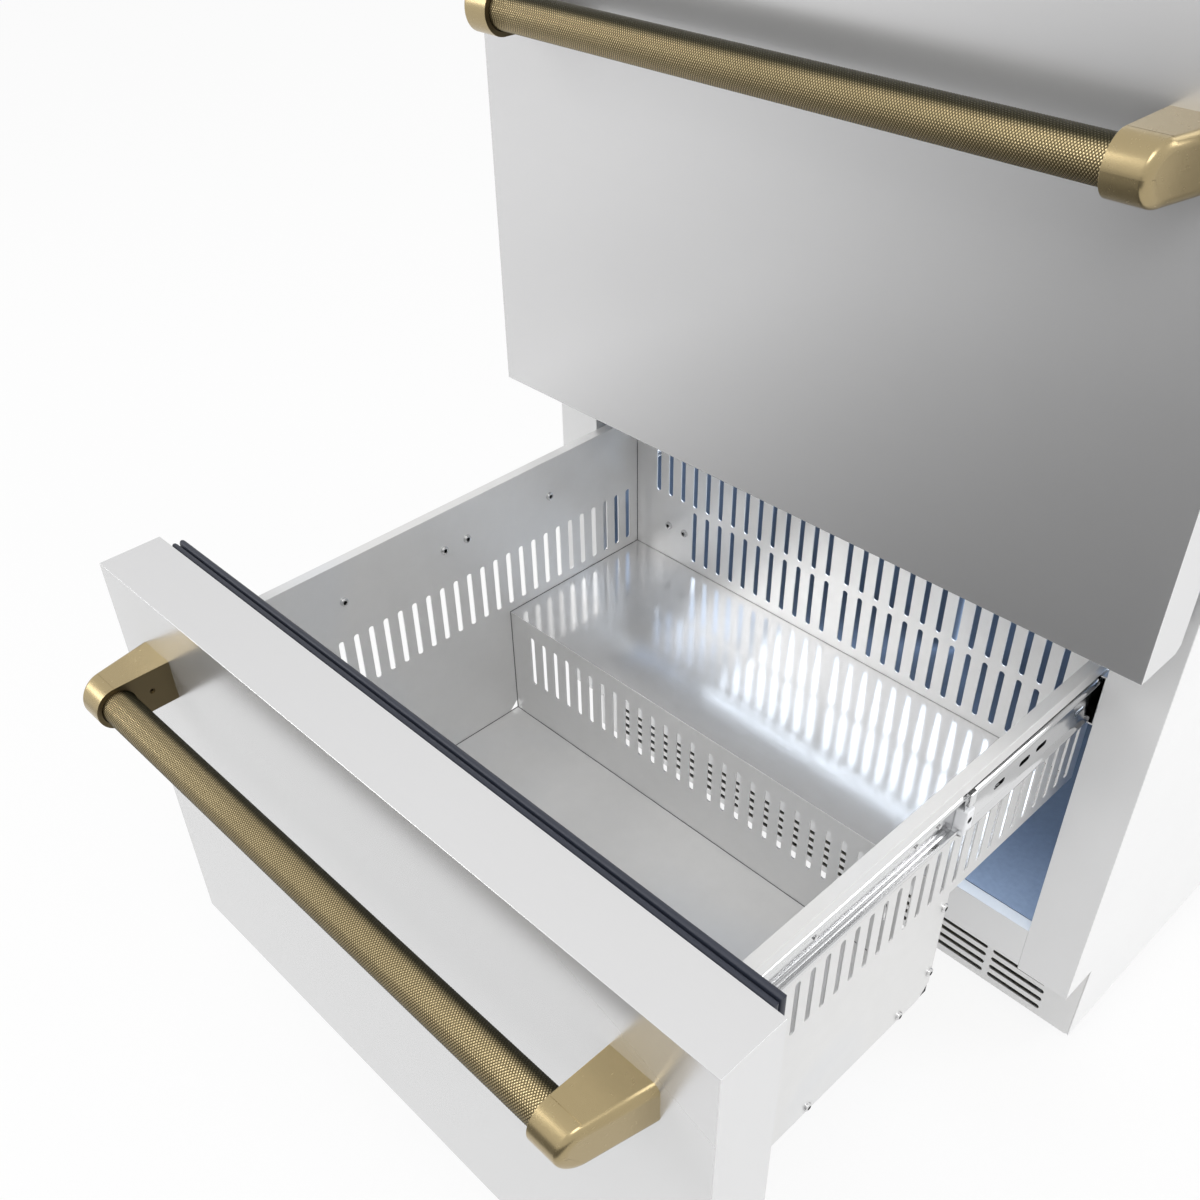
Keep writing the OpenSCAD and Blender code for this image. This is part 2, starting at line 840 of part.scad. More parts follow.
// Outer members and the spacers that hold them off the liner
module slide_outer(front_top) {
    z = slide_z(front_top);
    web_x = box_half + slide_w;
    placed() color("silver") for (side = [0, 1]) {
        mirror([side, 0, 0]) union() {
            channel(web_x, web_x - outer_lip, z, slide_h, member_t, slide_front, slide_back);
            for (y = [slide_front, slide_back - spacer_l]) {
                block([web_x - member_t / 2, y, z - inner_h / 2],
                    [liner_half, y + spacer_l, z + inner_h / 2]);
            }
        }
    }
}

module slide_outer_lower() {
    slide_outer(lower_top);
}

module slide_outer_upper() {
    slide_outer(upper_top);
}

// Middle member with its holes, on the right for zero, and its plastic end piece
module slide_middle(front_top, side, open) {
    z = slide_z(front_top);
    web_x = box_half + slide_w - member_t - web_gap;
    lip_x = box_half + ball_gap;
    placed(open / 2) color("gainsboro") mirror([side, 0, 0]) {
        difference() {
            channel(web_x, lip_x, z, middle_h, member_t, middle_front, middle_front + middle_len);
            for (y = hole_ys) {
                slot_x_wide([web_x - member_t - over, middle_front + y, z], hole_l, hole_w,
                    member_t + 2 * over);
            }
        }
        channel(web_x, lip_x, z, middle_h, member_t, middle_front - retainer_l, middle_front);
        block([web_x - member_t - retainer_more, middle_front - retainer_l, z - inner_h / 2],
            [web_x - member_t / 2, middle_front, z + inner_h / 2]);
    }
}

module slide_middle_lower_left() {
    slide_middle(lower_top, 1, lower_open);
}

module slide_middle_lower_right() {
    slide_middle(lower_top, 0, lower_open);
}

module slide_middle_upper_left() {
    slide_middle(upper_top, 1, 0);
}

module slide_middle_upper_right() {
    slide_middle(upper_top, 0, 0);
}

// Inner members, screwed to the two sides of a box
module slide_inner(front_top, open) {
    z = slide_z(front_top);
    lip_x = box_half + slide_w - 2 * member_t - 2 * web_gap;
    placed(open) color("gainsboro") for (side = [0, 1]) {
        mirror([side, 0, 0]) difference() {
            channel(box_half, lip_x, z, inner_h, member_t, slide_front, slide_back);
            for (y = side_screw_ys) {
                bar_x([box_half - over, front_back_y + y, z], screw_r + fit, member_t + 2 * over);
            }
        }
    }
}

// Outline of a drawer front from its side, inset by a thickness, up to a rear plane
module front_outline(bottom, t, rear_y) {
    slant_y = front_back_y - front_cut - slant_share * t;
    polygon([[front_face_y + t, bottom + t], [slant_y, bottom + t],
        [rear_y, bottom + t + rear_y - slant_y], [rear_y, bottom + front_h - t],
        [front_face_y + t, bottom + front_h - t]]);
}

// The same outline as a solid that reaches to half a width on both sides
module front_body(bottom, t, rear_y, half) {
    translate([-half, 0, 0]) rotate([90, 0, 90]) linear_extrude(2 * half)
        front_outline(bottom, t, rear_y);
}

// Skin of a drawer front: a pan of sheet that is open toward the cabinet
module front_skin(bottom, open) {
    half = front_w / 2;
    bolt_x = bracket_x + bracket_w / 2;
    bolt_z = bottom + front_h - bar_drop;
    placed(open) color("gainsboro") difference() {
        front_body(bottom, 0, front_back_y, half);
        front_body(bottom, sheet_t, front_back_y + over, half - sheet_t);
        for (x = [-bolt_x, bolt_x]) {
            bar_y([x, front_face_y - over, bolt_z], bolt_r + fit, sheet_t + 2 * over);
        }
    }
}

// The raised middle of the inner plate that the gasket goes round, inset by a thickness
module plinth(bottom, t, y0, y1) {
    half = front_w / 2 - seal_inset - seal_w - plinth_gap - t;
    low = bottom + seal_inset_low + seal_w + plinth_gap + t;
    high = bottom + front_h - seal_inset_top - seal_w - plinth_gap - t;
    block([-half, y0, low], [half, y1, high]);
}

// Foam between the skin and the inner plate, with pockets for the bolt heads
module front_core(bottom, open) {
    rear_y = front_back_y - plate_t;
    bolt_x = bracket_x + bracket_w / 2;
    bolt_z = bottom + front_h - bar_drop;
    placed(open) color("khaki") difference() {
        union() {
            front_body(bottom, sheet_t, rear_y, front_w / 2 - sheet_t);
            plinth(bottom, plate_t, rear_y - over, rear_y + plinth_d);
        }
        for (x = [-bolt_x, bolt_x]) {
            bar_y([x, front_face_y + sheet_t - over, bolt_z], bolt_head_r + fit, over + bolt_head_h);
        }
    }
}

// Inner plate of a drawer front, with its plinth pressed out toward the box
module front_liner(bottom, open) {
    half = front_w / 2 - sheet_t;
    rear_y = front_back_y - plate_t;
    placed(open) color("lightgray") difference() {
        union() {
            block([-half, rear_y, bottom + front_cut + 2 * sheet_t],
                [half, front_back_y, bottom + front_h - sheet_t]);
            plinth(bottom, 0, rear_y, front_back_y + plinth_d);
        }
        plinth(bottom, plate_t, rear_y - over, rear_y + plinth_d);
    }
}

// Gasket ring: a flat base and a hollow bulb with a groove along its middle
module gasket(bottom, open) {
    half = front_w / 2 - seal_inset;
    low = bottom + seal_inset_low;
    high = bottom + front_h - seal_inset_top;
    mid = gasket_bulb_inset + (gasket_bulb_w - gasket_groove_w) / 2;
    placed(open) color("darkslategray") difference() {
        union() {
            ring_y(half, low, high, seal_w, front_back_y, front_back_y + gasket_base_t);
            ring_y(half - gasket_bulb_inset, low + gasket_bulb_inset, high - gasket_bulb_inset,
                gasket_bulb_w, front_back_y, front_back_y + gasket_t);
        }
        ring_y(half - mid, low + mid, high - mid, gasket_groove_w,
            front_back_y + gasket_t - gasket_groove_d, front_back_y + gasket_t + over);
    }
}

// Knurled bar, plain here, held in the two brackets
module handle_bar(bottom, open) {
    half = bracket_x + bar_socket;
    z = bottom + front_h - bar_drop;
    placed(open) color("darkkhaki") bar_x([-half, handle_y, z], bar_r, 2 * half);
}

// Shape of the bracket as seen from its side, along X
module bracket_side(z) {
    union() {
        block([bracket_x, handle_y, z - nose_r], [bracket_x + bracket_w, front_face_y, z + nose_r]);
        bar_x([bracket_x, handle_y, z], nose_r, bracket_w);
    }
}

// Thin slice of the bracket as seen from the front, with its outer edges rounded
module bracket_slice(y, outer, z) {
    block([bracket_x, y, z - nose_r], [outer - bracket_round, y + over, z + nose_r]);
    for (s = [-1, 1]) {
        bar_y([outer - bracket_round, y, z + s * (nose_r - bracket_round)], bracket_round, over);
    }
}

// Body of the bracket, which gets narrower from the front's face to its nose
module bracket_front(z) {
    hull() {
        bracket_slice(nose_y, bracket_end(nose_y), z);
        bracket_slice(front_face_y - over, bracket_end(front_face_y), z);
    }
}

// Shape of the bracket as seen from above, with its outer nose rounded
module bracket_above(z) {
    round_y = nose_y + bracket_round;
    round_x = bracket_end(round_y) - bracket_round * lean_share;
    hull() {
        block([bracket_x, nose_y, z - nose_r], [bracket_x + over, front_face_y, z + nose_r]);
        block([bracket_x, front_face_y - over, z - nose_r],
            [bracket_end(front_face_y), front_face_y, z + nose_r]);
        bar_z([round_x, round_y, z - nose_r], bracket_round, bracket_h);
    }
}

module bracket(bottom, open, side) {
    z = bottom + front_h - bar_drop;
    placed(open) color("darkkhaki") mirror([side, 0, 0]) difference() {
        intersection() {
            bracket_side(z);
            bracket_front(z);
            bracket_above(z);
        }
        bar_x([bracket_x - over, handle_y, z], bar_r + fit, bar_socket + over);
        bar_y([bracket_x + bracket_w / 2, front_face_y - bolt_in, z], bolt_r + fit, bolt_in + over);
        bar_x([bracket_x - over, front_face_y - set_screw_y, z], set_screw_r + fit,
            over + set_screw_deep + set_screw_l);
    }
}

// Outline of a box side: full depth in front, and shallow behind the step
module side_outline(front_top, stepped) {
    rim = front_top - box_drop;
    low = rim - well_depth - box_t;
    shelf = rim - shelf_depth - box_t;
    back = box_back_y + box_t;
    riser = step_riser_y + box_t;
    points = stepped
        ? [[box_front_y, low], [riser - step_chamfer, low], [riser, low + step_chamfer],
            [riser, shelf], [back, shelf], [back, rim], [box_front_y, rim]]
        : [[box_front_y, low], [back, low], [back, rim], [box_front_y, rim]];
    polygon(points);
}

module box_side(front_top, open, side, stepped) {
    rim = front_top - box_drop;
    placed(open) color("silver") mirror([side, 0, 0]) difference() {
        union() {
            translate([box_in, 0, 0]) rotate([90, 0, 90]) linear_extrude(box_t)
                side_outline(front_top, stepped);
            block([box_in, box_front_y, rim - box_t], [box_half + rim_w, box_back_y + box_t, rim]);
            block([box_half + rim_w - box_t, box_front_y, rim - rim_return],
                [box_half + rim_w, box_back_y + box_t, rim]);
        }
        for (i = [0:side_slots - 1]) {
            slot_x([box_in - over, box_back_y - side_slot_last - i * slot_pitch, rim - side_slot_drop],
                slot_l, slot_w, box_t + 2 * over);
        }
        for (y = side_screw_ys) {
            bar_x([box_in - over, front_back_y + y, slide_z(front_top)], screw_r + fit, box_t + 2 * over);
        }
    }
}

// Middle of slot number i on either side of the middle gap
function slot_place(i) = centre_gap / 2 + i * back_pitch;

module box_back(front_top, open, stepped) {
    rim = front_top - box_drop;
    low = rim - (stepped ? shelf_depth : well_depth);
    placed(open) color("silver") difference() {
        block([-box_in, box_back_y, low], [box_in, box_back_y + box_t, rim]);
        for (s = [-1, 1]) {
            for (i = [0:back_slots - 1]) {
                slot_y([s * slot_place(i), box_back_y - over, rim - side_slot_drop + slot_l + back_row_gap],
                    slot_l, slot_w, box_t + 2 * over);
            }
            for (i = [0:(s < 0 ? back_slots_low : back_slots) - 1]) {
                slot_y([s * slot_place(i), box_back_y - over, rim - side_slot_drop],
                    slot_l, slot_w, box_t + 2 * over);
            }
        }
        for (x = back_screw_xs) {
            bar_y([-x, box_back_y - over, rim - side_slot_drop], screw_r + fit, box_t + 2 * over);
        }
    }
}

// Floor of the lower box, folded up into the step and back into the shelf
module box_floor_stepped(front_top, open) {
    rim = front_top - box_drop;
    low = rim - well_depth;
    shelf = rim - shelf_depth;
    placed(open) color("silver") difference() {
        union() {
            block([-box_in, box_front_y, low - box_t], [box_in, step_riser_y + box_t, low]);
            block([-box_in, step_riser_y, low - box_t], [box_in, step_riser_y + box_t, shelf]);
            block([-box_in, step_riser_y, shelf - box_t], [box_in, box_back_y + box_t, shelf]);
        }
        for (s = [-1, 1], i = [0:back_slots - 1]) {
            slot_y([s * slot_place(i), step_riser_y - over, rim - step_slot_drop],
                slot_l, slot_w, box_t + 2 * over);
        }
    }
}

module box_floor_plain(front_top, open) {
    low = front_top - box_drop - well_depth;
    placed(open) color("silver") block([-box_in, box_front_y, low - box_t],
        [box_in, box_back_y + box_t, low]);
}

// A screw along X whose head lies on the inner side of a box wall
module wall_screw(y, z) {
    bar_x([box_in - screw_head_h, y, z], screw_head_r, screw_head_h);
    bar_x([box_in - over, y, z], screw_r, over + screw_l);
}

// Screws of a drawer: slide screws, rear screws, edge screws, bolts and set screws
module fasteners(bottom, open, stepped) {
    front_top = bottom + front_h;
    z = front_top - bar_drop;
    edge_z = front_top - box_drop - well_depth + edge_screw_up;
    rear_z = front_top - box_drop - side_slot_drop;
    riser_zs = [edge_z - edge_screw_up + riser_screw_low,
        front_top - box_drop - shelf_depth - riser_screw_high];
    placed(open) color("silver") for (x = back_screw_xs) {
        bar_y([-x, box_back_y - screw_head_h, rear_z], screw_head_r, screw_head_h);
        bar_y([-x, box_back_y - over, rear_z], screw_r, over + screw_l);
    }
    placed(open) color("silver") for (side = [0, 1]) {
        mirror([side, 0, 0]) {
            for (y = side_screw_ys) {
                wall_screw(front_back_y + y, slide_z(front_top));
            }
            for (back = edge_screw_backs) {
                bar_x([box_half, step_riser_y - back, edge_z], screw_head_r, screw_head_h);
            }
            if (stepped) {
                for (z = riser_zs) {
                    bar_x([box_half, step_riser_y - riser_screw_in, z], screw_head_r, screw_head_h);
                }
            }
            bar_y([bracket_x + bracket_w / 2, front_face_y - bolt_in, z], bolt_r, bolt_in + sheet_t + over);
            bar_y([bracket_x + bracket_w / 2, front_face_y + sheet_t, z], bolt_head_r, bolt_head_h);
            difference() {
                bar_x([bracket_x + set_screw_deep, front_face_y - set_screw_y, z], set_screw_r, set_screw_l);
                translate([bracket_x + set_screw_deep, front_face_y - set_screw_y, z]) rotate([0, 90, 0])
                    translate([0, 0, -over]) cylinder(r = hex_r, h = over + hex_deep, $fn = 6);
            }
        }
    }
}

module lower_front_skin() {
    front_skin(front_bottom, lower_open);
}

module lower_front_core() {
    front_core(front_bottom, lower_open);
}

module lower_front_liner() {
    front_liner(front_bottom, lower_open);
}

module lower_gasket() {
    gasket(front_bottom, lower_open);
}

module lower_handle_bar() {
    handle_bar(front_bottom, lower_open);
}

module lower_bracket_left() {
    bracket(front_bottom, lower_open, 1);
}

module lower_bracket_right() {
    bracket(front_bottom, lower_open, 0);
}

module lower_box_left() {
    box_side(lower_top, lower_open, 1, true);
}

module lower_box_right() {
    box_side(lower_top, lower_open, 0, true);
}

module lower_box_back() {
    box_back(lower_top, lower_open, true);
}

module lower_box_floor() {
    box_floor_stepped(lower_top, lower_open);
}

module lower_slide_inner() {
    slide_inner(lower_top, lower_open);
}

module lower_fasteners() {
    fasteners(front_bottom, lower_open, true);
}

module upper_front_skin() {
    front_skin(upper_bottom, 0);
}

module upper_front_core() {
    front_core(upper_bottom, 0);
}

module upper_front_liner() {
    front_liner(upper_bottom, 0);
}

module upper_gasket() {
    gasket(upper_bottom, 0);
}

module upper_handle_bar() {
    handle_bar(upper_bottom, 0);
}

module upper_bracket_left() {
    bracket(upper_bottom, 0, 1);
}

module upper_bracket_right() {
    bracket(upper_bottom, 0, 0);
}

module upper_box_left() {
    box_side(upper_top, 0, 1, false);
}

module upper_box_right() {
    box_side(upper_top, 0, 0, false);
}

module upper_box_back() {
    box_back(upper_top, 0, false);
}

module upper_box_floor() {
    box_floor_plain(upper_top, 0);
}

module upper_slide_inner() {
    slide_inner(upper_top, 0);
}

module upper_fasteners() {
    fasteners(upper_bottom, 0, false);
}

side_panel_left();
side_panel_right();
top_panel();
back_panel();
base_pan();
front_frame();
sill_plate();
toe_grille();
liner();
insulation();
foot_front_left();
foot_front_right();
foot_back_left();
foot_back_right();
compressor();
compressor_grommets();
condenser();
condenser_shroud();
condenser_fan();
drip_tray();
refrigerant_lines();
evaporator();
evaporator_cover();
evaporator_fan();
interior_lamp();
control_module();
cord_gland();
slide_outer_lower();
slide_outer_upper();
slide_middle_lower_left();
slide_middle_lower_right();
slide_middle_upper_left();
slide_middle_upper_right();
lower_front_skin();
lower_front_core();
lower_front_liner();
lower_gasket();
lower_handle_bar();
lower_bracket_left();
lower_bracket_right();
lower_box_left();
lower_box_right();
lower_box_back();
lower_box_floor();
lower_slide_inner();
lower_fasteners();
upper_front_skin();
upper_front_core();
upper_front_liner();
upper_gasket();
upper_handle_bar();
upper_bracket_left();
upper_bracket_right();
upper_box_left();
upper_box_right();
upper_box_back();
upper_box_floor();
upper_slide_inner();
upper_fasteners();
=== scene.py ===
"""Dressed model of an undercounter refrigerator with two drawers, the lower one pulled open.

Lengths are in metres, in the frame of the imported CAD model: the floor is at Z zero, the drawer
fronts face minus Y, and the origin lies under the middle of the whole outline.
"""

from __future__ import annotations

import logging
import math
from dataclasses import dataclass, field
from enum import Enum
from typing import Any, Callable, Iterable, Sequence

import bmesh
import bpy
from mathutils import Matrix, Vector


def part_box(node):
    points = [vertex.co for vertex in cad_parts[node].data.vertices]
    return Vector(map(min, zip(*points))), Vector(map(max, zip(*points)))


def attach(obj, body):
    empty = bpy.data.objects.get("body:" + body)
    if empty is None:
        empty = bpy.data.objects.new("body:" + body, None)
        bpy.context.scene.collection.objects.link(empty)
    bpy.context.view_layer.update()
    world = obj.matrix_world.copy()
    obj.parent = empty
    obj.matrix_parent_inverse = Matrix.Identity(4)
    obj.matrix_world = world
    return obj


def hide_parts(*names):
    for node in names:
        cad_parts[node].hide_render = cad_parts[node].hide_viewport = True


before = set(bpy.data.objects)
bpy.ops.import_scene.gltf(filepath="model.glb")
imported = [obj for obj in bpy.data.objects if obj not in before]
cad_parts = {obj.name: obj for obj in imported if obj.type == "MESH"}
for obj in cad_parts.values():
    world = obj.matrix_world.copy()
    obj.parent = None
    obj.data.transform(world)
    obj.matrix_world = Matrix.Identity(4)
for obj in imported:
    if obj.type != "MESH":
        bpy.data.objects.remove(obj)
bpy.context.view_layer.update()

log = logging.getLogger("refrigerator")

ops = bmesh.ops
Mesh = bmesh.types.BMesh
Face = bmesh.types.BMFace
Vert = bmesh.types.BMVert
Rim = bmesh.types.BMEdge
Thing = bpy.types.Object
Pieces = list[bpy.types.Object]
Point = tuple[float, float]
Area = tuple[float, float, float, float]
Colour = tuple[float, float, float]
MM = 0.001
FACE_Y = -20.375 * MM


def spot(x: float, y: float, z: float, pulled: float = 0.0) -> Vector:
    """Turns a place in the cabinet's drawing, in millimetres, into a place in the scene."""
    return Vector((x * MM, (y - pulled) * MM + FACE_Y, z * MM))


class Grain(Enum):
    """Direction in which a sheet or a turned part was brushed."""

    ALONG_X = 0
    ALONG_Y = 1
    ALONG_Z = 2

    def stretch(self, across: float, along: float) -> Colour:
        """Gives the scale of a pattern that is fine across the grain and long along it."""
        scale = [across, across, across]
        scale[self.value] = along
        return (scale[0], scale[1], scale[2])


class Texture(Enum):
    """Surface that a mould or a spray gun leaves."""

    SPARK = (2600.0, 2.0)
    SATIN = (1400.0, 3.0)
    RUBBER = (1900.0, 4.0)
    PEEL = (520.0, 2.0)


class Level(Enum):
    """The two drawers, by the start of their nodes' names."""

    LOWER = "lower"
    UPPER = "upper"


def operator(kind: str, flipped: bool = False) -> Callable[["Sock", "Value"], "Sock"]:
    """Makes the method behind one operator.

    Args:
        kind: The operation of its Math node.
        flipped: The other value comes first.

    Returns:
        The method.
    """
    def method(self: "Sock", other: "Value") -> "Sock":
        """Adds the Math node and gives its output."""
        first, second = (other, self) if flipped else (self, other)
        return self.graph.node("ShaderNodeMath", {"operation": kind}, {0: first, 1: second})

    return method


@dataclass(frozen=True)
class Sock:
    """An output in a shader graph that takes part in Python expressions."""

    graph: "Graph"
    link: bpy.types.NodeSocket | None
    __add__ = operator("ADD")
    __radd__ = operator("ADD", True)
    __sub__ = operator("SUBTRACT")
    __rsub__ = operator("SUBTRACT", True)
    __mul__ = operator("MULTIPLY")
    __rmul__ = operator("MULTIPLY", True)
    at_most = operator("MINIMUM")
    at_least = operator("MAXIMUM")

    def held(self, top: float = 1.0) -> "Sock":
        """Keeps the value between 0 and the top."""
        return self.at_least(0.0).at_most(top)


Value = Sock | float | Sequence[float]


class Graph:
    """The node tree of one material or of the world."""

    def __init__(self, tree: bpy.types.NodeTree) -> None:
        """Empties the tree and keeps it."""
        tree.nodes.clear()
        self.tree = tree

    def node(self, kind: str, settings: dict[str, Any] | None = None,
             inputs: dict[int | str, Value] | None = None, out: int | str = 0) -> Sock:
        """Adds a node.

        Args:
            kind: The node's type.
            settings: Its properties, set first.
            inputs: Values or links of its sockets, by name or number.
            out: The output that is wanted.

        Returns:
            That output.
        """
        made = self.tree.nodes.new(kind)
        for key, value in (settings or {}).items():
            setattr(made, key, value)
        for key, value in (inputs or {}).items():
            if isinstance(value, Sock):
                self.tree.links.new(value.link, made.inputs[key])
            else:
                made.inputs[key].default_value = value
        return Sock(self, made.outputs[out] if made.outputs else None)

    def place(self, scale: Colour = (1.0, 1.0, 1.0)) -> Sock:
        """Gives the place on the piece, in metres times a scale."""
        here = self.node("ShaderNodeTexCoord", out="Object")
        return self.node("ShaderNodeMapping", {}, {"Vector": here, "Scale": scale})

    def noise(self, scale: float, detail: float = 2.0, rough: float = 0.5,
              stretch: Colour = (1.0, 1.0, 1.0)) -> Sock:
        """Gives a soft noise between 0 and 1 with about that many spots a metre."""
        return self.node("ShaderNodeTexNoise", {}, {"Vector": self.place(stretch), "Scale": scale,
                                                    "Detail": detail, "Roughness": rough})

    def tint(self, share: Value, first: Value, second: Value) -> Sock:
        """Mixes two colours by a share."""
        return self.node("ShaderNodeMix", {"data_type": "RGBA"},
                         {0: share, 6: _opaque(first), 7: _opaque(second)}, out=2)

    def bump(self, height: Sock, depth: float) -> Sock:
        """Turns a height between 0 and 1 into a normal, with a depth in metres."""
        return self.node("ShaderNodeBump", {}, {"Strength": 1.0, "Distance": depth, "Height": height})

    def relief(self, height: Sock, depth: float) -> dict[int | str, Value]:
        """Gives the input of a surface for a relief, or none where its depth is zero."""
        return {"Normal": self.bump(height, depth)} if depth > 0 else {}

    def surface(self, inputs: dict[int | str, Value]) -> None:
        """Ends the graph in one surface with these values and links."""
        shader = self.node("ShaderNodeBsdfPrincipled", {}, inputs)
        self.node("ShaderNodeOutputMaterial", {}, {"Surface": shader})


def _opaque(colour: Value) -> Value:
    """Gives a plain colour its fourth number and leaves a link alone."""
    return colour if isinstance(colour, Sock) else (*colour[:3], 1.0)


def shade(colour: Colour, factor: float) -> Colour:
    """Makes a colour darker or lighter by a factor."""
    return (min(1.0, colour[0] * factor), min(1.0, colour[1] * factor), min(1.0, colour[2] * factor))


def new_material(name: str) -> bpy.types.Material:
    """Makes a material with a node tree."""
    made = bpy.data.materials.new(name)
    made.use_nodes = True
    return made


@dataclass(frozen=True)
class Finish:
    """A named surface finish. Each kind says in paint how its graph is made."""

    name: str
    colour: Colour

    def material(self) -> bpy.types.Material:
        """Gives the finish's material, which is made when it is first asked for."""
        known = bpy.data.materials.get(self.name)
        if known is None:
            known = new_material(self.name)
            self.paint(Graph(known.node_tree))
        return known

    def tones(self, graph: Graph, share: Sock, low: float, high: float) -> Sock:
        """Mixes a darker and a lighter tone of the finish's colour by a share."""
        return graph.tint(share, shade(self.colour, low), shade(self.colour, high))

    def paint(self, graph: Graph) -> None:
        """Builds the graph of the finish."""
        raise NotImplementedError


@dataclass(frozen=True)
class BrushedMetal(Finish):
    """Sheet or turned metal with fine lines along one direction and slow clouds of tone."""

    grain: Grain = Grain.ALONG_X
    roughness: float = 0.3
    metallic: float = 1.0
    line: float = 0.9 * MM
    depth: float = 0.012 * MM
    cloud: float = 0.05
    cloud_size: float = 0.14
    streak: float = 0.03

    def paint(self, graph: Graph) -> None:
        """Lines drive tone, roughness and a shallow relief, and clouds drive tone and roughness."""
        fine = graph.noise(1.0, 3.0, 0.6, self.grain.stretch(1.0 / self.line, 9.0))
        wide = graph.noise(1.0, 2.0, 0.5, self.grain.stretch(0.16 / self.line, 2.0))
        cloud = graph.noise(1.0 / self.cloud_size, 3.0, 0.55)
        tone = (cloud - 0.5) * (2.0 * self.cloud) + (fine + wide - 1.0) * (2.0 * self.streak) + 0.5
        rough = self.roughness + (cloud - 0.5) * 0.06 + (fine - 0.5) * (4.0 * self.streak)
        graph.surface({
            "Base Color": self.tones(graph, tone, 0.5, 1.5),
            "Metallic": self.metallic,
            "Roughness": rough.at_least(0.06),
            **graph.relief(fine * 0.7 + wide * 0.3, self.depth),
        })


@dataclass(frozen=True)
class MottledMetal(Finish):
    """Rolled or plated sheet with a soft mottle, faint rolling lines and cooler spots."""

    grain: Grain = Grain.ALONG_Y
    roughness: float = 0.3
    metallic: float = 0.85
    mottle: float = 0.10
    mottle_size: float = 0.016
    depth: float = 0.010 * MM
    spread: float = 0.10
    cool: Colour = (0.62, 0.66, 0.72)

    def paint(self, graph: Graph) -> None:
        """The mottle drives tone and roughness, and the rolling lines drive the relief."""
        spots = graph.noise(1.0 / self.mottle_size, 4.0, 0.62)
        slow = graph.noise(5.0, 2.0, 0.5)
        lines = graph.noise(1.0, 2.0, 0.6, self.grain.stretch(1150.0, 14.0))
        tone = (spots - 0.5) * (2.4 * self.mottle) + (slow - 0.5) * 0.12 + 0.5
        base = self.tones(graph, tone, 0.55, 1.45)
        cooled = graph.tint(((slow - 0.52) * 2.2).held(0.35), base, self.cool)
        graph.surface({
            "Base Color": cooled,
            "Metallic": self.metallic,
            "Roughness": (self.roughness + (spots + lines - 1.0) * self.spread).at_least(0.05),
            **graph.relief(lines * 0.8 + spots * 0.2, self.depth),
        })


@dataclass(frozen=True)
class KnurledMetal(Finish):
    """Cut knurling with painted light: lighter crests, valleys painted darker as shade, and a band round one
    side of the bar painted lit while the rest is painted dark as shade.
    """

    # painted shade: the darker colour of the valleys between the crests
    valley: Colour = (0.085, 0.065, 0.030)
    # painted shade: colour of the side of the bar that is painted dark
    painted_dark_side: Colour = (0.060, 0.053, 0.030)
    roughness: float = 0.22

    def paint(self, graph: Graph) -> None:
        """Crest is 1 on a point and 0 in a valley, where the darker colour is painted shade. The lit band
        attribute is 1 round the band painted lit and 0 on the side painted dark as shade.
        """
        crest = graph.node("ShaderNodeAttribute", {"attribute_name": "crest"}, out="Fac")
        painted_lit_band = graph.node("ShaderNodeAttribute", {"attribute_name": "painted_lit_band"}, out="Fac")
        grime = graph.noise(900.0, 3.0, 0.6)
        slow = graph.noise(40.0, 2.0, 0.5)
        # painted shade in the valleys: the share is low in the valleys and high on the crests
        share = (crest * 1.5 + (grime - 0.5) * 0.3 - 0.25).held()
        bright = self.tones(graph, slow, 0.9, 1.08)
        # painted light: a band round one side of the bar is painted lit and the rest painted dark as shade
        top = graph.tint(painted_lit_band, self.painted_dark_side, bright)
        graph.surface({
            "Base Color": graph.tint(share, graph.tint(painted_lit_band, shade(self.painted_dark_side, 0.5), self.valley), top),
            "Metallic": 1.0,
            "Roughness": self.roughness + (1.0 - share) * 0.25 + (1.0 - painted_lit_band) * 0.15,
        })


@dataclass(frozen=True)
class Moulded(Finish):
    """Plastic, rubber or paint with the surface of its mould or spray gun."""

    texture: Texture = Texture.SPARK
    roughness: float = 0.5
    depth: float = 0.02 * MM
    drift: float = 0.06
    coat: float = 0.0

    def paint(self, graph: Graph) -> None:
        """A fine grain drives the relief, and slow clouds drive tone and roughness."""
        spots, detail = self.texture.value
        grain = graph.noise(spots, detail, 0.55)
        slow = graph.noise(14.0, 3.0, 0.5)
        dust = graph.noise(160.0, 4.0, 0.65)
        tone = (slow - 0.5) * 0.8 + (dust - 0.5) * 0.7 + 0.5
        graph.surface({
            "Base Color": self.tones(graph, tone, 1.0 - self.drift, 1.0 + self.drift),
            "Roughness": (self.roughness + (slow - 0.5) * 0.16 + (dust - 0.5) * 0.10).at_least(0.05),
            "Coat Weight": self.coat,
            "Normal": graph.bump(grain, self.depth),
        })


@dataclass(frozen=True)
class CellFoam(Finish):
    """Rigid foam with a skin of small cells."""

    def paint(self, graph: Graph) -> None:
        """Cells drive the relief, and their walls are lighter than their floors."""
        cells = graph.node("ShaderNodeTexVoronoi", {"feature": "DISTANCE_TO_EDGE"},
                           {"Vector": graph.place(), "Scale": 420.0})
        slow = graph.noise(22.0, 3.0, 0.6)
        share = (cells * 6.0 + (slow - 0.5) * 0.8).held()
        graph.surface({
            "Base Color": self.tones(graph, share, 1.1, 0.72),
            "Roughness": 0.85 + (slow - 0.5) * 0.1,
            "Normal": graph.bump(cells.at_most(0.2), 0.3 * MM),
        })


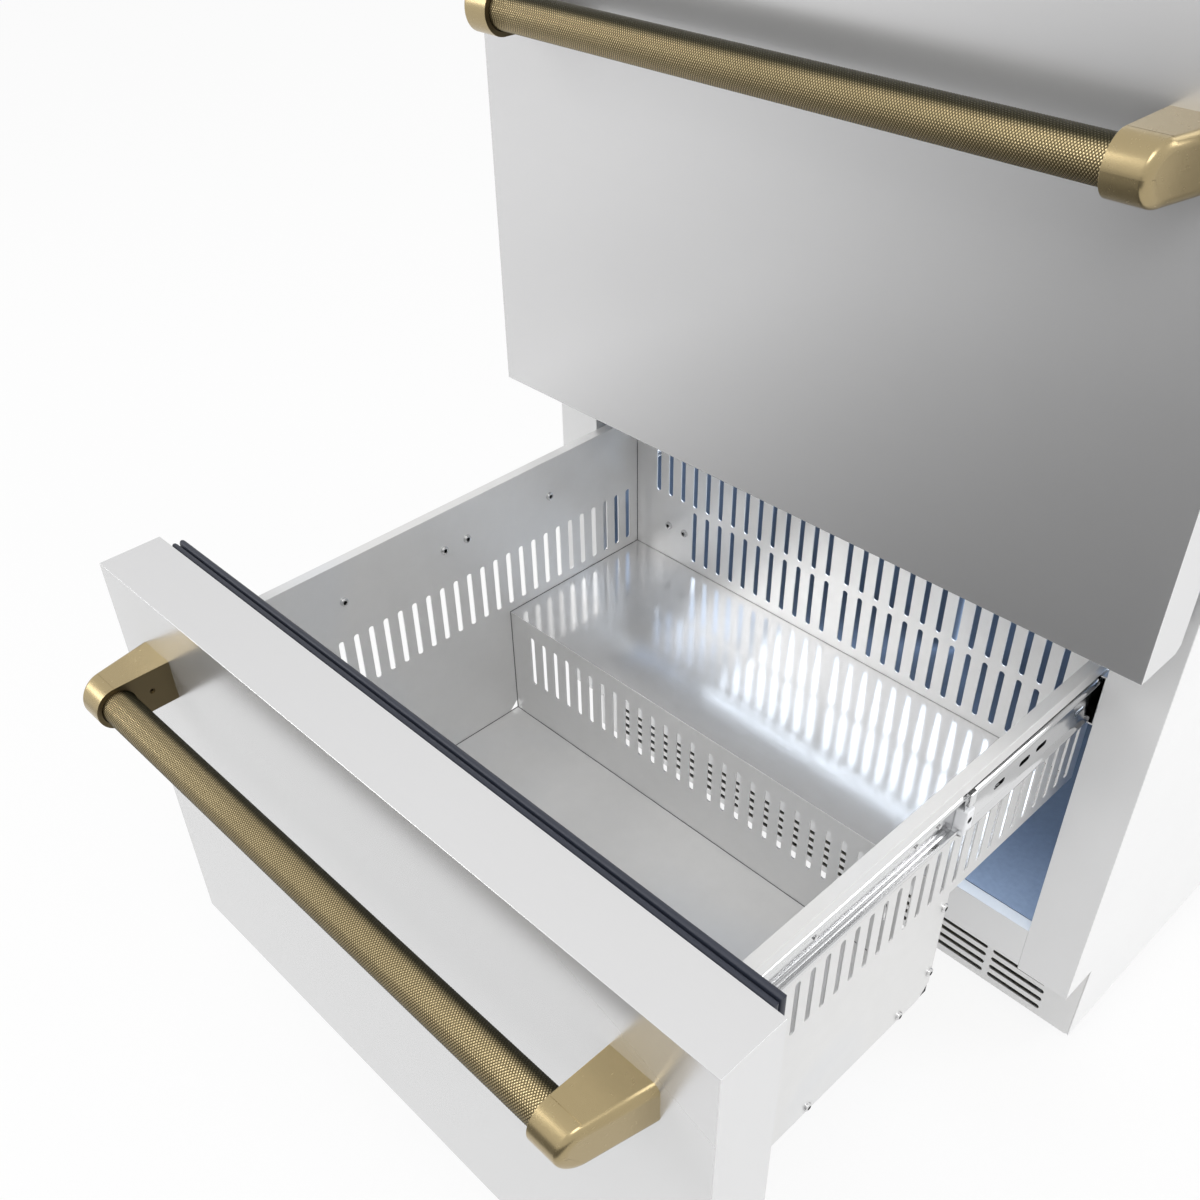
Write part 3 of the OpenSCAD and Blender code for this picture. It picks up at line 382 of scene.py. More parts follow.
@dataclass(frozen=True)
class LampLens(Finish):
    """Ribbed milky cover of a lamp that glows a little."""

    glow: float = 0.5

    def paint(self, graph: Graph) -> None:
        """Ribs drive the relief, and the glow falls off between them."""
        ribs = graph.node("ShaderNodeTexWave", {"wave_profile": "SIN"},
                          {"Vector": graph.place(), "Scale": 55.0, "Distortion": 0.0})
        haze = graph.noise(60.0, 2.0, 0.5)
        graph.surface({
            "Base Color": self.tones(graph, ribs, 0.88, 1.0),
            "Roughness": 0.3 + haze * 0.15,
            "Emission Color": self.tones(graph, haze, 0.7, 1.0),
            "Emission Strength": self.glow,
            "Normal": graph.bump(ribs, 0.25 * MM),
        })


@dataclass(frozen=True)
class FinStack(Finish):
    """Packed aluminium fins with bent spots and dust."""

    grain: Grain = Grain.ALONG_Z
    dust: Colour = (0.30, 0.29, 0.27)
    metallic: float = 0.9
    roughness: float = 0.38

    def paint(self, graph: Graph) -> None:
        """Fin lines drive the relief, and dust settles in clouds."""
        lines = graph.noise(1.0, 2.0, 0.5, self.grain.stretch(900.0, 30.0))
        cloud = graph.noise(26.0, 5.0, 0.65)
        dusty = ((cloud - 0.5) * 3.0).held(0.7)
        graph.surface({
            "Base Color": graph.tint(dusty, self.colour, self.dust),
            "Metallic": self.metallic - dusty * 0.6,
            "Roughness": self.roughness + dusty * 0.4,
            "Normal": graph.bump(lines, 0.03 * MM),
        })


STEEL = (0.70, 0.70, 0.71)
BRONZE = (0.385, 0.305, 0.165)
FRONT = BrushedMetal("brushed front steel", STEEL, roughness=0.25, metallic=0.70, depth=0.0, cloud=0.010,
                     streak=0.004)
# painted light: a lighter copy of the front steel for the side walls of the fronts
FRONT_SIDE_LIT = BrushedMetal("front side steel with painted light", (0.94, 0.94, 0.95), grain=Grain.ALONG_Z,
                          roughness=0.38, metallic=0.3, depth=0.0, cloud=0.01, streak=0.004)
FRAME = BrushedMetal("brushed frame steel", (0.92, 0.92, 0.92), grain=Grain.ALONG_Z, roughness=0.36,
                     metallic=0.5, depth=0.0, cloud=0.02, streak=0.006)
SIDE = Moulded("light cabinet paint", (0.90, 0.90, 0.90), Texture.PEEL, roughness=0.38, depth=0.015 * MM,
               drift=0.03)
ZINC = MottledMetal("zinc sheet", (0.55, 0.57, 0.60), mottle=0.22, mottle_size=0.03, roughness=0.42)
LINER = MottledMetal("speckled liner steel", (0.25, 0.31, 0.41), roughness=0.36, metallic=0.55, mottle=0.14,
                     mottle_size=0.005, depth=0.0, cool=(0.30, 0.37, 0.48))
BOX = MottledMetal("drawer box steel", (0.86, 0.85, 0.83), roughness=0.30, metallic=0.35, mottle=0.04,
                   depth=0.0, spread=0.03)
BOX_FLOOR = MottledMetal("drawer floor steel", (0.78, 0.77, 0.77), grain=Grain.ALONG_X, roughness=0.11,
                         metallic=0.6, mottle=0.04, depth=0.04 * MM, spread=0.03)
# painted shade: dark strips that stand for the shade in the box's joints
JOINT_SHADE = Moulded("painted joint shade", (0.09, 0.09, 0.095), Texture.SATIN, roughness=0.6, drift=0.3)
CHROME = BrushedMetal("bright slide steel", (0.80, 0.81, 0.83), grain=Grain.ALONG_Y, roughness=0.13,
                      line=0.6 * MM, depth=0.003 * MM, cloud=0.03, streak=0.01)
SCREW = BrushedMetal("screw steel", (0.70, 0.70, 0.70), grain=Grain.ALONG_Z, roughness=0.24, line=0.4 * MM,
                     depth=0.003 * MM)
BRONZE_SATIN = MottledMetal("satin bronze", BRONZE, roughness=0.27, metallic=0.85, mottle=0.012,
                            mottle_size=0.004, depth=0.0, spread=0.015, cool=(0.42, 0.335, 0.19))
# dark bronze of the set screws, also used as painted shade on the brackets' inner faces
BRONZE_DARK_AND_SHADE = MottledMetal("dark bronze with painted shade", (0.115, 0.088, 0.045), roughness=0.36, metallic=0.85,
                           mottle=0.03, mottle_size=0.004, depth=0.0, spread=0.03, cool=(0.10, 0.08, 0.045))
BRONZE_KNURL = KnurledMetal("knurled bronze", (0.72, 0.585, 0.34))
FOAM = CellFoam("rigid foam", (0.80, 0.72, 0.48))
PLATE = Moulded("inner plate coating", (0.74, 0.75, 0.76), Texture.PEEL, roughness=0.35, depth=0.012 * MM,
                drift=0.03)
RUBBER = Moulded("gasket rubber", (0.018, 0.022, 0.036), Texture.RUBBER, roughness=0.5, depth=0.025 * MM,
                 drift=0.2)
FOOT = Moulded("foot plastic", (0.035, 0.035, 0.038), Texture.SPARK, roughness=0.5, drift=0.25)
BLACK = Moulded("black plastic", (0.022, 0.022, 0.024), Texture.SPARK, roughness=0.42, drift=0.25)
WHITE = Moulded("white plastic", (0.84, 0.85, 0.87), Texture.SATIN, roughness=0.36, depth=0.012 * MM,
                drift=0.03)
LENS = LampLens("lamp lens", (0.92, 0.94, 0.96))
ENAMEL = Moulded("black compressor enamel", (0.018, 0.018, 0.019), Texture.PEEL, roughness=0.25,
                 depth=0.05 * MM, drift=0.3, coat=0.4)
GROMMET = Moulded("grommet rubber", (0.045, 0.045, 0.045), Texture.RUBBER, roughness=0.7, drift=0.2)
COIL_DARK = FinStack("painted coil", (0.06, 0.06, 0.065), metallic=0.3)
COIL_BARE = FinStack("bare aluminium coil", (0.72, 0.73, 0.75), dust=(0.6, 0.63, 0.66))
COPPER = MottledMetal("tarnished copper", (0.72, 0.40, 0.24), roughness=0.34, mottle=0.25,
                      mottle_size=0.012, cool=(0.30, 0.20, 0.14))
FAN = Moulded("fan plastic", (0.055, 0.058, 0.062), Texture.SATIN, roughness=0.4, drift=0.15)


@dataclass(frozen=True)
class Edge:
    """How far the sharp edges of a piece are rounded."""

    width: float
    segments: int = 2
    from_angle: float = 35.0
    clamp: bool = True


SHEET_EDGE = Edge(0.3 * MM, 3)
FOLD_EDGE = Edge(0.4 * MM)
PANEL_EDGE = Edge(0.45 * MM)
CAST_EDGE = Edge(1.0 * MM, 3)
FOOT_EDGE = Edge(0.9 * MM, 3)


def placed(name: str, data: bpy.types.ID) -> Thing:
    """Puts a new object with that data into the scene."""
    made = bpy.data.objects.new(name, data)
    bpy.context.scene.collection.objects.link(made)
    return made


def drawn(name: str, mesh: Mesh) -> bpy.types.Mesh:
    """Turns an open mesh into mesh data and closes it."""
    data = bpy.data.meshes.new(name)
    mesh.to_mesh(data)
    mesh.free()
    return data


def moved(mesh: Mesh, by: Sequence[float]) -> Mesh:
    """Moves a whole mesh and gives it back."""
    ops.translate(mesh, verts=mesh.verts, vec=by)
    return mesh


def scaled(mesh: Mesh, by: Sequence[float]) -> Mesh:
    """Scales a whole mesh about the origin and gives it back."""
    ops.scale(mesh, verts=mesh.verts, vec=by)
    return mesh


def turned(mesh: Mesh, turn: Matrix) -> Mesh:
    """Turns a whole mesh about the origin and gives it back."""
    ops.rotate(mesh, verts=mesh.verts, cent=(0.0, 0.0, 0.0), matrix=turn)
    return mesh


def outward(mesh: Mesh) -> Mesh:
    """Points all normals of a mesh outward and gives it back."""
    ops.recalc_face_normals(mesh, faces=mesh.faces)
    return mesh


def only(kind: type, geometry: Iterable[Any]) -> list[Any]:
    """Picks one kind of element out of the result of an operator."""
    return [part for part in geometry if isinstance(part, kind)]


def extruded(mesh: Mesh, face: Face) -> Face:
    """Extrudes a face and gives the new one."""
    return only(Face, ops.extrude_face_region(mesh, geom=[face])["geom"])[0]


def bevel(mesh: Mesh, edges: Sequence[Rim], width: float, segments: int, clamp: bool = True) -> None:
    """Rounds these edges of a mesh."""
    ops.bevel(mesh, geom=edges, offset=width, offset_type="OFFSET", segments=segments, profile=0.5,
              affect="EDGES", clamp_overlap=clamp, material=-1)


class Workshop:
    """Turns meshes into finished pieces that ride on the bodies of the frame."""

    def node_mesh(self, node: str, whole: bool = True) -> Mesh:
        """Copies a node's mesh, merged.

        Args:
            node: The name of the CAD node.
            whole: Makes flat faces whole. Sheets with many slots stay in triangles.

        Returns:
            The copy as an open mesh.
        """
        mesh = bmesh.new()
        mesh.from_mesh(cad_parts[node].data)
        ops.remove_doubles(mesh, verts=mesh.verts, dist=0.004 * MM)
        if whole:
            ops.dissolve_limit(mesh, angle_limit=math.radians(0.4), verts=mesh.verts, edges=mesh.edges)
        return mesh

    def round_edges(self, mesh: Mesh, edge: Edge, wanted: Callable[[Rim], bool] | None = None) -> None:
        """Bevels the outer edges of a mesh.

        Args:
            mesh: The mesh that is changed.
            edge: How wide and how fine the rounding is.
            wanted: Picks some of the sharp edges. All of them are taken without it.
        """
        limit = math.radians(edge.from_angle)
        sharp = [e for e in mesh.edges if e.is_manifold and e.is_convex and e.calc_face_angle(0.0) > limit
                 and (wanted is None or wanted(e))]
        if sharp:
            bevel(mesh, sharp, edge.width, edge.segments, edge.clamp)

    def settle(self, mesh: Mesh, name: str, body: str, slot: str, finishes: Sequence[Finish],
               nodes: Iterable[str] = (), crease: float = 50.0) -> Thing:
        """Makes an object of a mesh, dresses it and hangs it on its body.

        Args:
            mesh: The open mesh, which is closed here.
            name: The piece's name.
            body: The body that it rides on.
            slot: The record's material slot; not used.
            finishes: Its finishes, in the order of its faces' material numbers.
            nodes: The CAD nodes that it stands for.
            crease: Angle in degrees above which an edge stays sharp.

        Returns:
            The piece.
        """
        data = drawn(name, mesh)
        for finish in finishes:
            data.materials.append(finish.material())
        data.shade_smooth()
        data.set_sharp_from_angle(angle=math.radians(crease))
        piece = placed(name, data)
        even = piece.modifiers.new("even shading", "WEIGHTED_NORMAL")
        even.keep_sharp = True
        even.weight = 80
        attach(piece, body)
        if nodes:
            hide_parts(*nodes)
        return piece

    def softened(self, node: str, body: str, slot: str, finishes: Sequence[Finish], edge: Edge,
                 wanted: Callable[[Rim], bool] | None = None, number: Callable[[Face], int] | None = None,
                 slotted: bool = False) -> Thing:
        """Makes a piece that stands for a node, with its edges rounded.

        Args:
            node: The CAD node whose mesh is copied.
            body: The body that the node is on.
            slot: The record's material slot.
            finishes: The piece's finishes.
            edge: How its edges are rounded.
            wanted: Picks the edges that are rounded.
            number: Gives each face the number of its finish.
            slotted: The node is a sheet with many slots, which keeps its triangles.

        Returns:
            The piece.
        """
        mesh = self.node_mesh(node, whole=not slotted)
        self.round_edges(mesh, edge, wanted)
        if number is not None:
            for face in mesh.faces:
                face.material_index = number(face)
        crease = 30.0 if slotted else 50.0
        piece = self.settle(mesh, f"{node}_dressed", body, slot, finishes, [node], crease)
        if slotted:
            piece.modifiers.clear()
            for face in piece.data.polygons:
                face.use_smooth = max(abs(part) for part in face.normal) < 0.999
        return piece

    def paint_node(self, node: str, finish: Finish) -> Thing:
        """Gives a CAD node, which stays as it is, its finish."""
        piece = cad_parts[node]
        if not piece.data.materials:
            piece.data.materials.append(None)
        for slot in piece.material_slots:
            slot.material = finish.material()
        return piece

    def cut(self, mesh: Mesh, cutters: Sequence[Mesh]) -> Mesh:
        """Cuts closed shapes out of a closed mesh.

        Args:
            mesh: The mesh that is cut. It is used up.
            cutters: The shapes that are taken away. They are used up.

        Returns:
            What is left.
        """
        blank = placed("blank", drawn("blank", mesh))
        things = [blank]
        for cutter in cutters:
            step = blank.modifiers.new("cut", "BOOLEAN")
            step.operation = "DIFFERENCE"
            step.solver = "EXACT"
            step.object = placed("cutter", drawn("cutter", cutter))
            things.append(step.object)
        bpy.context.view_layer.update()
        result = bmesh.new()
        result.from_object(blank, bpy.context.evaluated_depsgraph_get())
        for thing in things:
            data = thing.data
            bpy.data.objects.remove(thing)
            bpy.data.meshes.remove(data)
        return result


SHOP = Workshop()


def rod(start: Vector, axis: Grain, radius: float, length: float, segments: int = 32) -> Mesh:
    """Makes a closed round bar.

    Args:
        start: Middle of its first end.
        axis: The direction it runs in.
        radius: Its radius.
        length: Its length.
        segments: Number of its sides.

    Returns:
        The bar as an open mesh.
    """
    mesh = bmesh.new()
    ops.create_cone(mesh, cap_ends=True, segments=segments, radius1=radius, radius2=radius, depth=length)
    turn = {Grain.ALONG_X: Matrix.Rotation(math.radians(90), 3, "Y"),
            Grain.ALONG_Y: Matrix.Rotation(math.radians(-90), 3, "X"),
            Grain.ALONG_Z: Matrix.Identity(3)}[axis]
    return moved(turned(moved(mesh, (0.0, 0.0, length / 2)), turn), start)


def arc(cx: float, cy: float, rx: float, ry: float, start: float, end: float,
        steps: int) -> list[Point]:
    """Gives the points of a round stretch between two angles in degrees. A minus rx turns it round."""
    turns = [math.radians(start + (end - start) * step / steps) for step in range(steps + 1)]
    return [(cx + rx * math.cos(turn), cy + ry * math.sin(turn)) for turn in turns]


def track(path: Sequence[Point], y0: float, y1: float, thick: float) -> Mesh:
    """Makes a rolled track: a sheet that follows a path in X and Z and runs along Y.

    Args:
        path: Points of the sheet's middle line, in metres.
        y0: Where it starts.
        y1: Where it ends.
        thick: Thickness of the sheet.

    Returns:
        The track as an open mesh.
    """
    mesh = bmesh.new()
    points = [ops.create_vert(mesh, co=(x, y0, z))["vert"][0] for x, z in path]
    for first, second in zip(points, points[1:]):
        ops.contextual_create(mesh, geom=[first, second])
    run = ops.extrude_edge_only(mesh, edges=mesh.edges[:])["geom"]
    ops.translate(mesh, verts=only(Vert, run), vec=(0.0, y1 - y0, 0.0))
    outward(mesh)
    ops.solidify(mesh, geom=mesh.faces[:], thickness=thick / 2)
    outward(mesh)
    return mesh


def block(low: Sequence[float], high: Sequence[float], edge: Edge | None = None) -> Mesh:
    """Makes a block between two corners, with its edges rounded where an edge is given.

    Args:
        low: Its lowest corner, in metres.
        high: Its highest corner.
        edge: How its edges are rounded.

    Returns:
        The block as an open mesh.
    """
    mesh = bmesh.new()
    ops.create_cube(mesh, size=1.0)
    scaled(mesh, [b - a for a, b in zip(low, high)])
    moved(mesh, [(a + b) / 2 for a, b in zip(low, high)])
    if edge is not None:
        SHOP.round_edges(mesh, edge)
    return mesh


def join(target: Mesh, part: Mesh) -> None:
    """Adds a mesh to another one and uses it up."""
    data = drawn("part", part)
    target.from_mesh(data)
    bpy.data.meshes.remove(data)


@dataclass
class Screw:
    """A pan head screw with a cross recess, on a short shank."""

    head_radius: float = 3.7 * MM
    head_height: float = 2.2 * MM
    shank_radius: float = 1.85 * MM
    shank_length: float = 3.4 * MM
    recess: float = 0.9 * MM

    def build(self, foot: Vector, facing: Vector) -> Mesh:
        """Makes one screw.

        Args:
            foot: Middle of the head's flat underside.
            facing: Direction in which the head points.

        Returns:
            The screw as an open mesh.
        """
        mesh = bmesh.new()
        ops.create_circle(mesh, cap_ends=True, segments=16, radius=self.head_radius)
        face = mesh.faces[:][0]
        height = 0.0
        for share, rise in ((1.0, 0.45), (0.93, 0.75), (0.74, 0.93), (0.5, 1.0)):
            face = extruded(mesh, face)
            ops.translate(mesh, verts=face.verts, vec=(0.0, 0.0, self.head_height * rise - height))
            height = self.head_height * rise
            self.spread(face, [share])
        star = extruded(mesh, face)
        self.spread(star, [0.46, 0.15, 0.15, 0.15])
        deep = extruded(mesh, star)
        ops.scale(mesh, verts=deep.verts, vec=(0.6, 0.6, 1.0))
        ops.translate(mesh, verts=deep.verts, vec=(0.0, 0.0, -self.recess))
        ops.delete(mesh, geom=[f for f in mesh.faces if len(f.verts) > 4 and f is not deep
                               and abs(f.calc_center_median().z) > self.head_height], context="FACES")
        join(mesh, rod(Vector((0.0, 0.0, -self.shank_length)), Grain.ALONG_Z, self.shank_radius,
                       self.shank_length + 0.3 * MM, 12))
        outward(mesh)
        turn = Vector((0.0, 0.0, 1.0)).rotation_difference(facing).to_matrix()
        return moved(turned(mesh, turn), foot)

    def spread(self, face: Face, shares: Sequence[float]) -> None:
        """Sets a face's corners to shares of the head's radius, over and over in this order."""
        for number, vert in enumerate(face.verts):
            reach = self.head_radius * shares[number % len(shares)]
            out = Vector((vert.co.x, vert.co.y, 0.0)).normalized() * reach
            vert.co.x, vert.co.y = out.x, out.y


@dataclass
class Handle:
    """A knurled round bar held in two rounded brackets."""

    level: Level
    bar_z: float
    pulled: float
    bar_radius: float = 12.8 * MM
    # painted light: angle of the band painted lit on the bar and its half width; the rest of the bar is
    # painted dark as shade
    lit_band_at: float = 0.0
    lit_band_half: float = 55.0
    knurl_rise: float = 0.27 * MM
    knurl_pitch: float = 1.8 * MM
    knurl_around: int = 29
    bar_half: float = 243.0
    plain_end: float = 17.0
    bracket_x: float = 223.0
    bracket_w: float = 37.0
    nose_w: float = 27.5
    nose_y: float = -104.5
    face_y: float = -62.5
    nose_r: float = 16.75
    round_r: float = 6.0
    socket_gap: float = 0.45
    crease_w: float = 0.45
    crease_d: float = 0.3

    def build(self) -> Pieces:
        """Builds the bar and the brackets and gives them as a list."""
        body = f"{self.level.value}_drawer"
        return [self.build_bar(body), self.build_bracket(body, -1), self.build_bracket(body, 1)]

    def build_bar(self, body: str) -> Thing:
        """Makes the bar, with its surface cut into rows of small pyramids.

        Args:
            body: The drawer's body.

        Returns:
            The bar.
        """
        low_r = self.bar_radius - self.knurl_rise
        knurled = 2 * (self.bar_half - self.plain_end) * MM + 8 * MM
        rows = round(knurled / self.knurl_pitch)
        mesh = bmesh.new()
        ops.create_cone(mesh, cap_ends=False, segments=self.knurl_around, radius1=low_r, radius2=low_r,
                        depth=knurled)
        long_edges = [e for e in mesh.edges if abs(e.verts[0].co.z - e.verts[1].co.z) > knurled / 2]
        ops.subdivide_edges(mesh, edges=long_edges, cuts=rows - 1, use_grid_fill=True)
        inner = [e for e in mesh.edges if not e.is_boundary]
        sag = low_r * (1.0 - math.cos(math.pi / self.knurl_around))
        ops.poke(mesh, faces=mesh.faces[:], offset=sag, center_mode="MEAN")
        ops.dissolve_edges(mesh, edges=[e for e in inner if e.is_valid], use_verts=False)
        diamonds = [f for f in mesh.faces if len(f.verts) == 4]
        crest = mesh.verts.layers.float.new("crest")
        for vert in ops.poke(mesh, faces=diamonds, offset=self.knurl_rise, center_mode="MEAN")["verts"]:
            vert[crest] = 1.0
        ends = [e for e in mesh.edges if e.is_boundary]
        for side in (-1, 1):
            loop = [e for e in ends if e.verts[0].co.z * side > 0]
            run = ops.extrude_edge_only(mesh, edges=loop)["geom"]
            for vert in only(Vert, run):
                vert.co.z = side * self.bar_half * MM
                vert[crest] = 0.6
            ops.contextual_create(mesh, geom=only(Rim, run))
        turned(mesh, Matrix.Rotation(math.radians(90), 3, "Y"))
        moved(mesh, spot(0.0, self.nose_y, self.bar_z, self.pulled))
        outward(mesh)
        self.mark_lit_band(mesh)
        name = f"{self.level.value}_handle_bar"
        piece = SHOP.settle(mesh, f"{name}_knurled", body, "handle_bronze", [BRONZE_KNURL], [name], 12.0)
        piece.modifiers.clear()
        return piece

    def mark_lit_band(self, mesh: Mesh) -> None:
        """Writes the lit band attribute: 1 round the band of the bar that is painted lit, 0 on the side
        painted dark as shade.

        Args:
            mesh: The bar's open mesh.
        """
        painted_lit_band = mesh.verts.layers.float.new("painted_lit_band")
        middle = spot(0.0, self.nose_y, self.bar_z, self.pulled)
        for vert in mesh.verts:
            turn = math.degrees(math.atan2(vert.co.z - middle.z, middle.y - vert.co.y))
            away = abs((turn - self.lit_band_at + 180.0) % 360.0 - 180.0)
            vert[painted_lit_band] = min(1.0, max(0.0, (self.lit_band_half + 10.0 - away) / 20.0))

    def build_bracket(self, body: str, side: int) -> Thing:
        """Makes one bracket with its round nose, soft outer edges, socket and screw hole, and its inner face
        painted dark as shade.

        Args:
            body: The drawer's body.
            side: -1 for the left one, 1 for the right one.

        Returns:
            The bracket.
        """
        def lies(edge: Rim, axis: int, at: float) -> bool:
            """Says if an edge lies in the plane at that place on an axis."""
            return all(abs(vert.co[axis] - at) < 1e-4 for vert in edge.verts)

        front = self.nose_y - self.nose_r
        outer = self.bracket_x + self.bracket_w
        mesh = block((self.bracket_x, front, -self.nose_r), (outer, self.face_y, self.nose_r))
        nose = [e for e in mesh.edges if lies(e, 1, front) and abs(e.verts[0].co.x - e.verts[1].co.x) > 1]
        bevel(mesh, nose, self.nose_r - 0.02, 18)
        for at, width, segments in ((outer, self.round_r, 10), (self.bracket_x, 0.5, 2)):
            rim = [e for e in mesh.edges if lies(e, 0, at) and not lies(e, 1, self.face_y)]
            bevel(mesh, rim, width, segments, clamp=at < outer)
        for vert in mesh.verts:
            narrow = (self.bracket_w - self.nose_w) / (self.face_y - self.nose_y)
            share = 1.0 - narrow * (self.face_y - vert.co.y) / self.bracket_w
            vert.co.x = self.bracket_x + (vert.co.x - self.bracket_x) * share
        scaled(mesh, (MM, MM, MM))
        x0 = (self.bracket_x - 1.0) * MM
        socket = rod(Vector((x0, self.nose_y * MM, 0.0)), Grain.ALONG_X,
                     self.bar_radius + self.socket_gap * MM, 21.0 * MM, 64)
        hole = rod(Vector((x0, (self.face_y - 17.0) * MM, 0.0)), Grain.ALONG_X, 2.1 * MM, 10.5 * MM, 32)
        top = self.nose_r - self.crease_d
        crease = scaled(block((self.bracket_x - 40.0, self.nose_y - self.crease_w / 2, top),
                              (self.bracket_x + 40.0, self.nose_y + self.crease_w / 2, top + 1.0)),
                        (MM, MM, MM))
        mesh = SHOP.cut(mesh, [socket, hole, crease])
        if side < 0:
            scaled(mesh, (-1.0, 1.0, 1.0))
            ops.reverse_faces(mesh, faces=mesh.faces)
        moved(mesh, spot(0.0, 0.0, self.bar_z, self.pulled))
        ops.remove_doubles(mesh, verts=mesh.verts, dist=0.002 * MM)
        outward(mesh)
        # painted shade: the inner face, toward the bar, takes the dark bronze
        for face in mesh.faces:
            face.material_index = 1 if face.normal.x * side < -0.9 else 0
        name = f"{self.level.value}_bracket_{'left' if side < 0 else 'right'}"
        return SHOP.settle(mesh, f"{name}_rounded", body, "handle_bronze", [BRONZE_SATIN, BRONZE_DARK_AND_SHADE],
                           [name], 35.0)


@dataclass
class SlideSet:
    """The moving members of a drawer's two slides: rolled tracks, stops and catches."""

    level: Level
    sheet: float = 1.2 * MM
    bulge: float = 3.4 * MM
    sink: float = 2.4 * MM
    shoulder: float = 4.5 * MM
    roll: float = 2.9 * MM
    hole_ys: tuple[float, ...] = (33.0, 64.0, 85.0, 135.0)
    stop_l: float = 9.0
    hole_half: float = 4.0 * MM
    hole_r: float = 2.5 * MM

    def build(self) -> Pieces:
        """Builds the inner members and both middle members and gives them as a list."""
        made = [self.build_inner()]
        for side, sign in (("left", -1), ("right", 1)):
            node = f"slide_middle_{self.level.value}_{side}"
            made += [self.build_middle(node, sign), self.build_stop(node, sign)]
        return made

    def build_inner(self) -> Thing:
        """Makes the two tracks that are screwed to the box, with their lips rolled in."""
        node = f"{self.level.value}_slide_inner"
        low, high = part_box(node)
        middle = (low[2] + high[2]) / 2
        top = high[2] - middle - self.sheet / 2
        web = high[0] - 7.3 * MM + self.sheet / 2
        lip = high[0] - self.sheet / 2
        half = [(web, 0.0), (web, top - 1.2 * MM), (web + 0.5 * MM, top - 0.3 * MM),
                *arc(lip - self.roll, top - self.roll, self.roll, self.roll, 100.0, -35.0, 8)]
        path = [(x, -z) for x, z in reversed(half[1:])] + half
        mesh = bmesh.new()
        for sign in (-1, 1):
            join(mesh, track([(sign * x, middle + z) for x, z in path], low[1], high[1], self.sheet))
        return SHOP.settle(mesh, f"{node}_rolled", f"{self.level.value}_drawer", "slide_steel", [CHROME],
                           [node], 40.0)

    def build_middle(self, node: str, sign: int) -> Thing:
        """Makes one middle track with its rounded ridges, sunk web and long holes.

        Args:
            node: The CAD node that it stands for, which is also its body.
            sign: -1 for the left one, 1 for the right one.

        Returns:
            The track.
        """
        low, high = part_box(node)
        middle = (low[2] + high[2]) / 2
        top = high[2] - middle - self.sheet / 2
        lip, face = sorted((abs(low[0]), abs(high[0])))
        face -= self.sheet / 2
        half = [(face - self.sink, 0.0), (face - self.sink, top - self.bulge - self.shoulder),
                *arc(face - self.bulge, top - self.bulge, self.bulge, self.bulge, -40.0, 90.0, 8),
                (lip + self.sheet / 2, top)]
        path = [(x, -z) for x, z in reversed(half[1:])] + half
        mesh = track([(sign * x, middle + z) for x, z in path], low[1], high[1], self.sheet)
        cutters = []
        for y in self.hole_ys:
            x = sign * (face - self.sink) - 3 * MM
            at = low[1] + (self.stop_l + y) * MM
            hole = rod(Vector((x, at, middle)), Grain.ALONG_X, self.hole_r, 6 * MM, 20)
            for vert in hole.verts:
                vert.co.y += math.copysign(self.hole_half, vert.co.y - at)
            cutters.append(hole)
        mesh = SHOP.cut(mesh, cutters)
        return SHOP.settle(mesh, f"{node}_rolled", node, "slide_steel", [CHROME], [node], 35.0)

    def build_stop(self, node: str, sign: int) -> Thing:
        """Makes the white stop at a track's front end and the steel catch above it.

        Args:
            node: The track's body.
            sign: -1 for the left one, 1 for the right one.

        Returns:
            The stop with its catch.
        """
        low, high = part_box(node)
        middle = (low[2] + high[2]) / 2
        inner, outer = sorted((abs(low[0]), abs(high[0])))
        x0, x1 = sorted((sign * (inner - 1.6 * MM), sign * outer))
        y = low[1]
        mesh = block((x0, y - 0.5 * MM, middle - 15 * MM), (x1, y + 9 * MM, middle + 4 * MM),
                     Edge(1.4 * MM, 3))
        join(mesh, block((x0, y - 0.5 * MM, middle - 18.5 * MM), (x1, y + 4 * MM, middle - 12 * MM),
                         Edge(1.2 * MM, 3)))
        join(mesh, rod(Vector((sign * (outer - 3 * MM), y + 4.2 * MM, middle - 5 * MM)), Grain.ALONG_X,
                       2.4 * MM, sign * 3.0 * MM, 20))
        x2 = sign * (outer - 4 * MM)
        catch = block((min(x2, sign * outer), y - 0.5 * MM, middle + 9 * MM),
                      (max(x2, sign * outer), y + 7 * MM, high[2]), Edge(0.8 * MM, 3))
        for face in catch.faces:
            face.material_index = 1
        join(mesh, catch)
        outward(mesh)
        return SHOP.settle(mesh, f"{node}_stop", node, "white_plastic", [WHITE, CHROME])


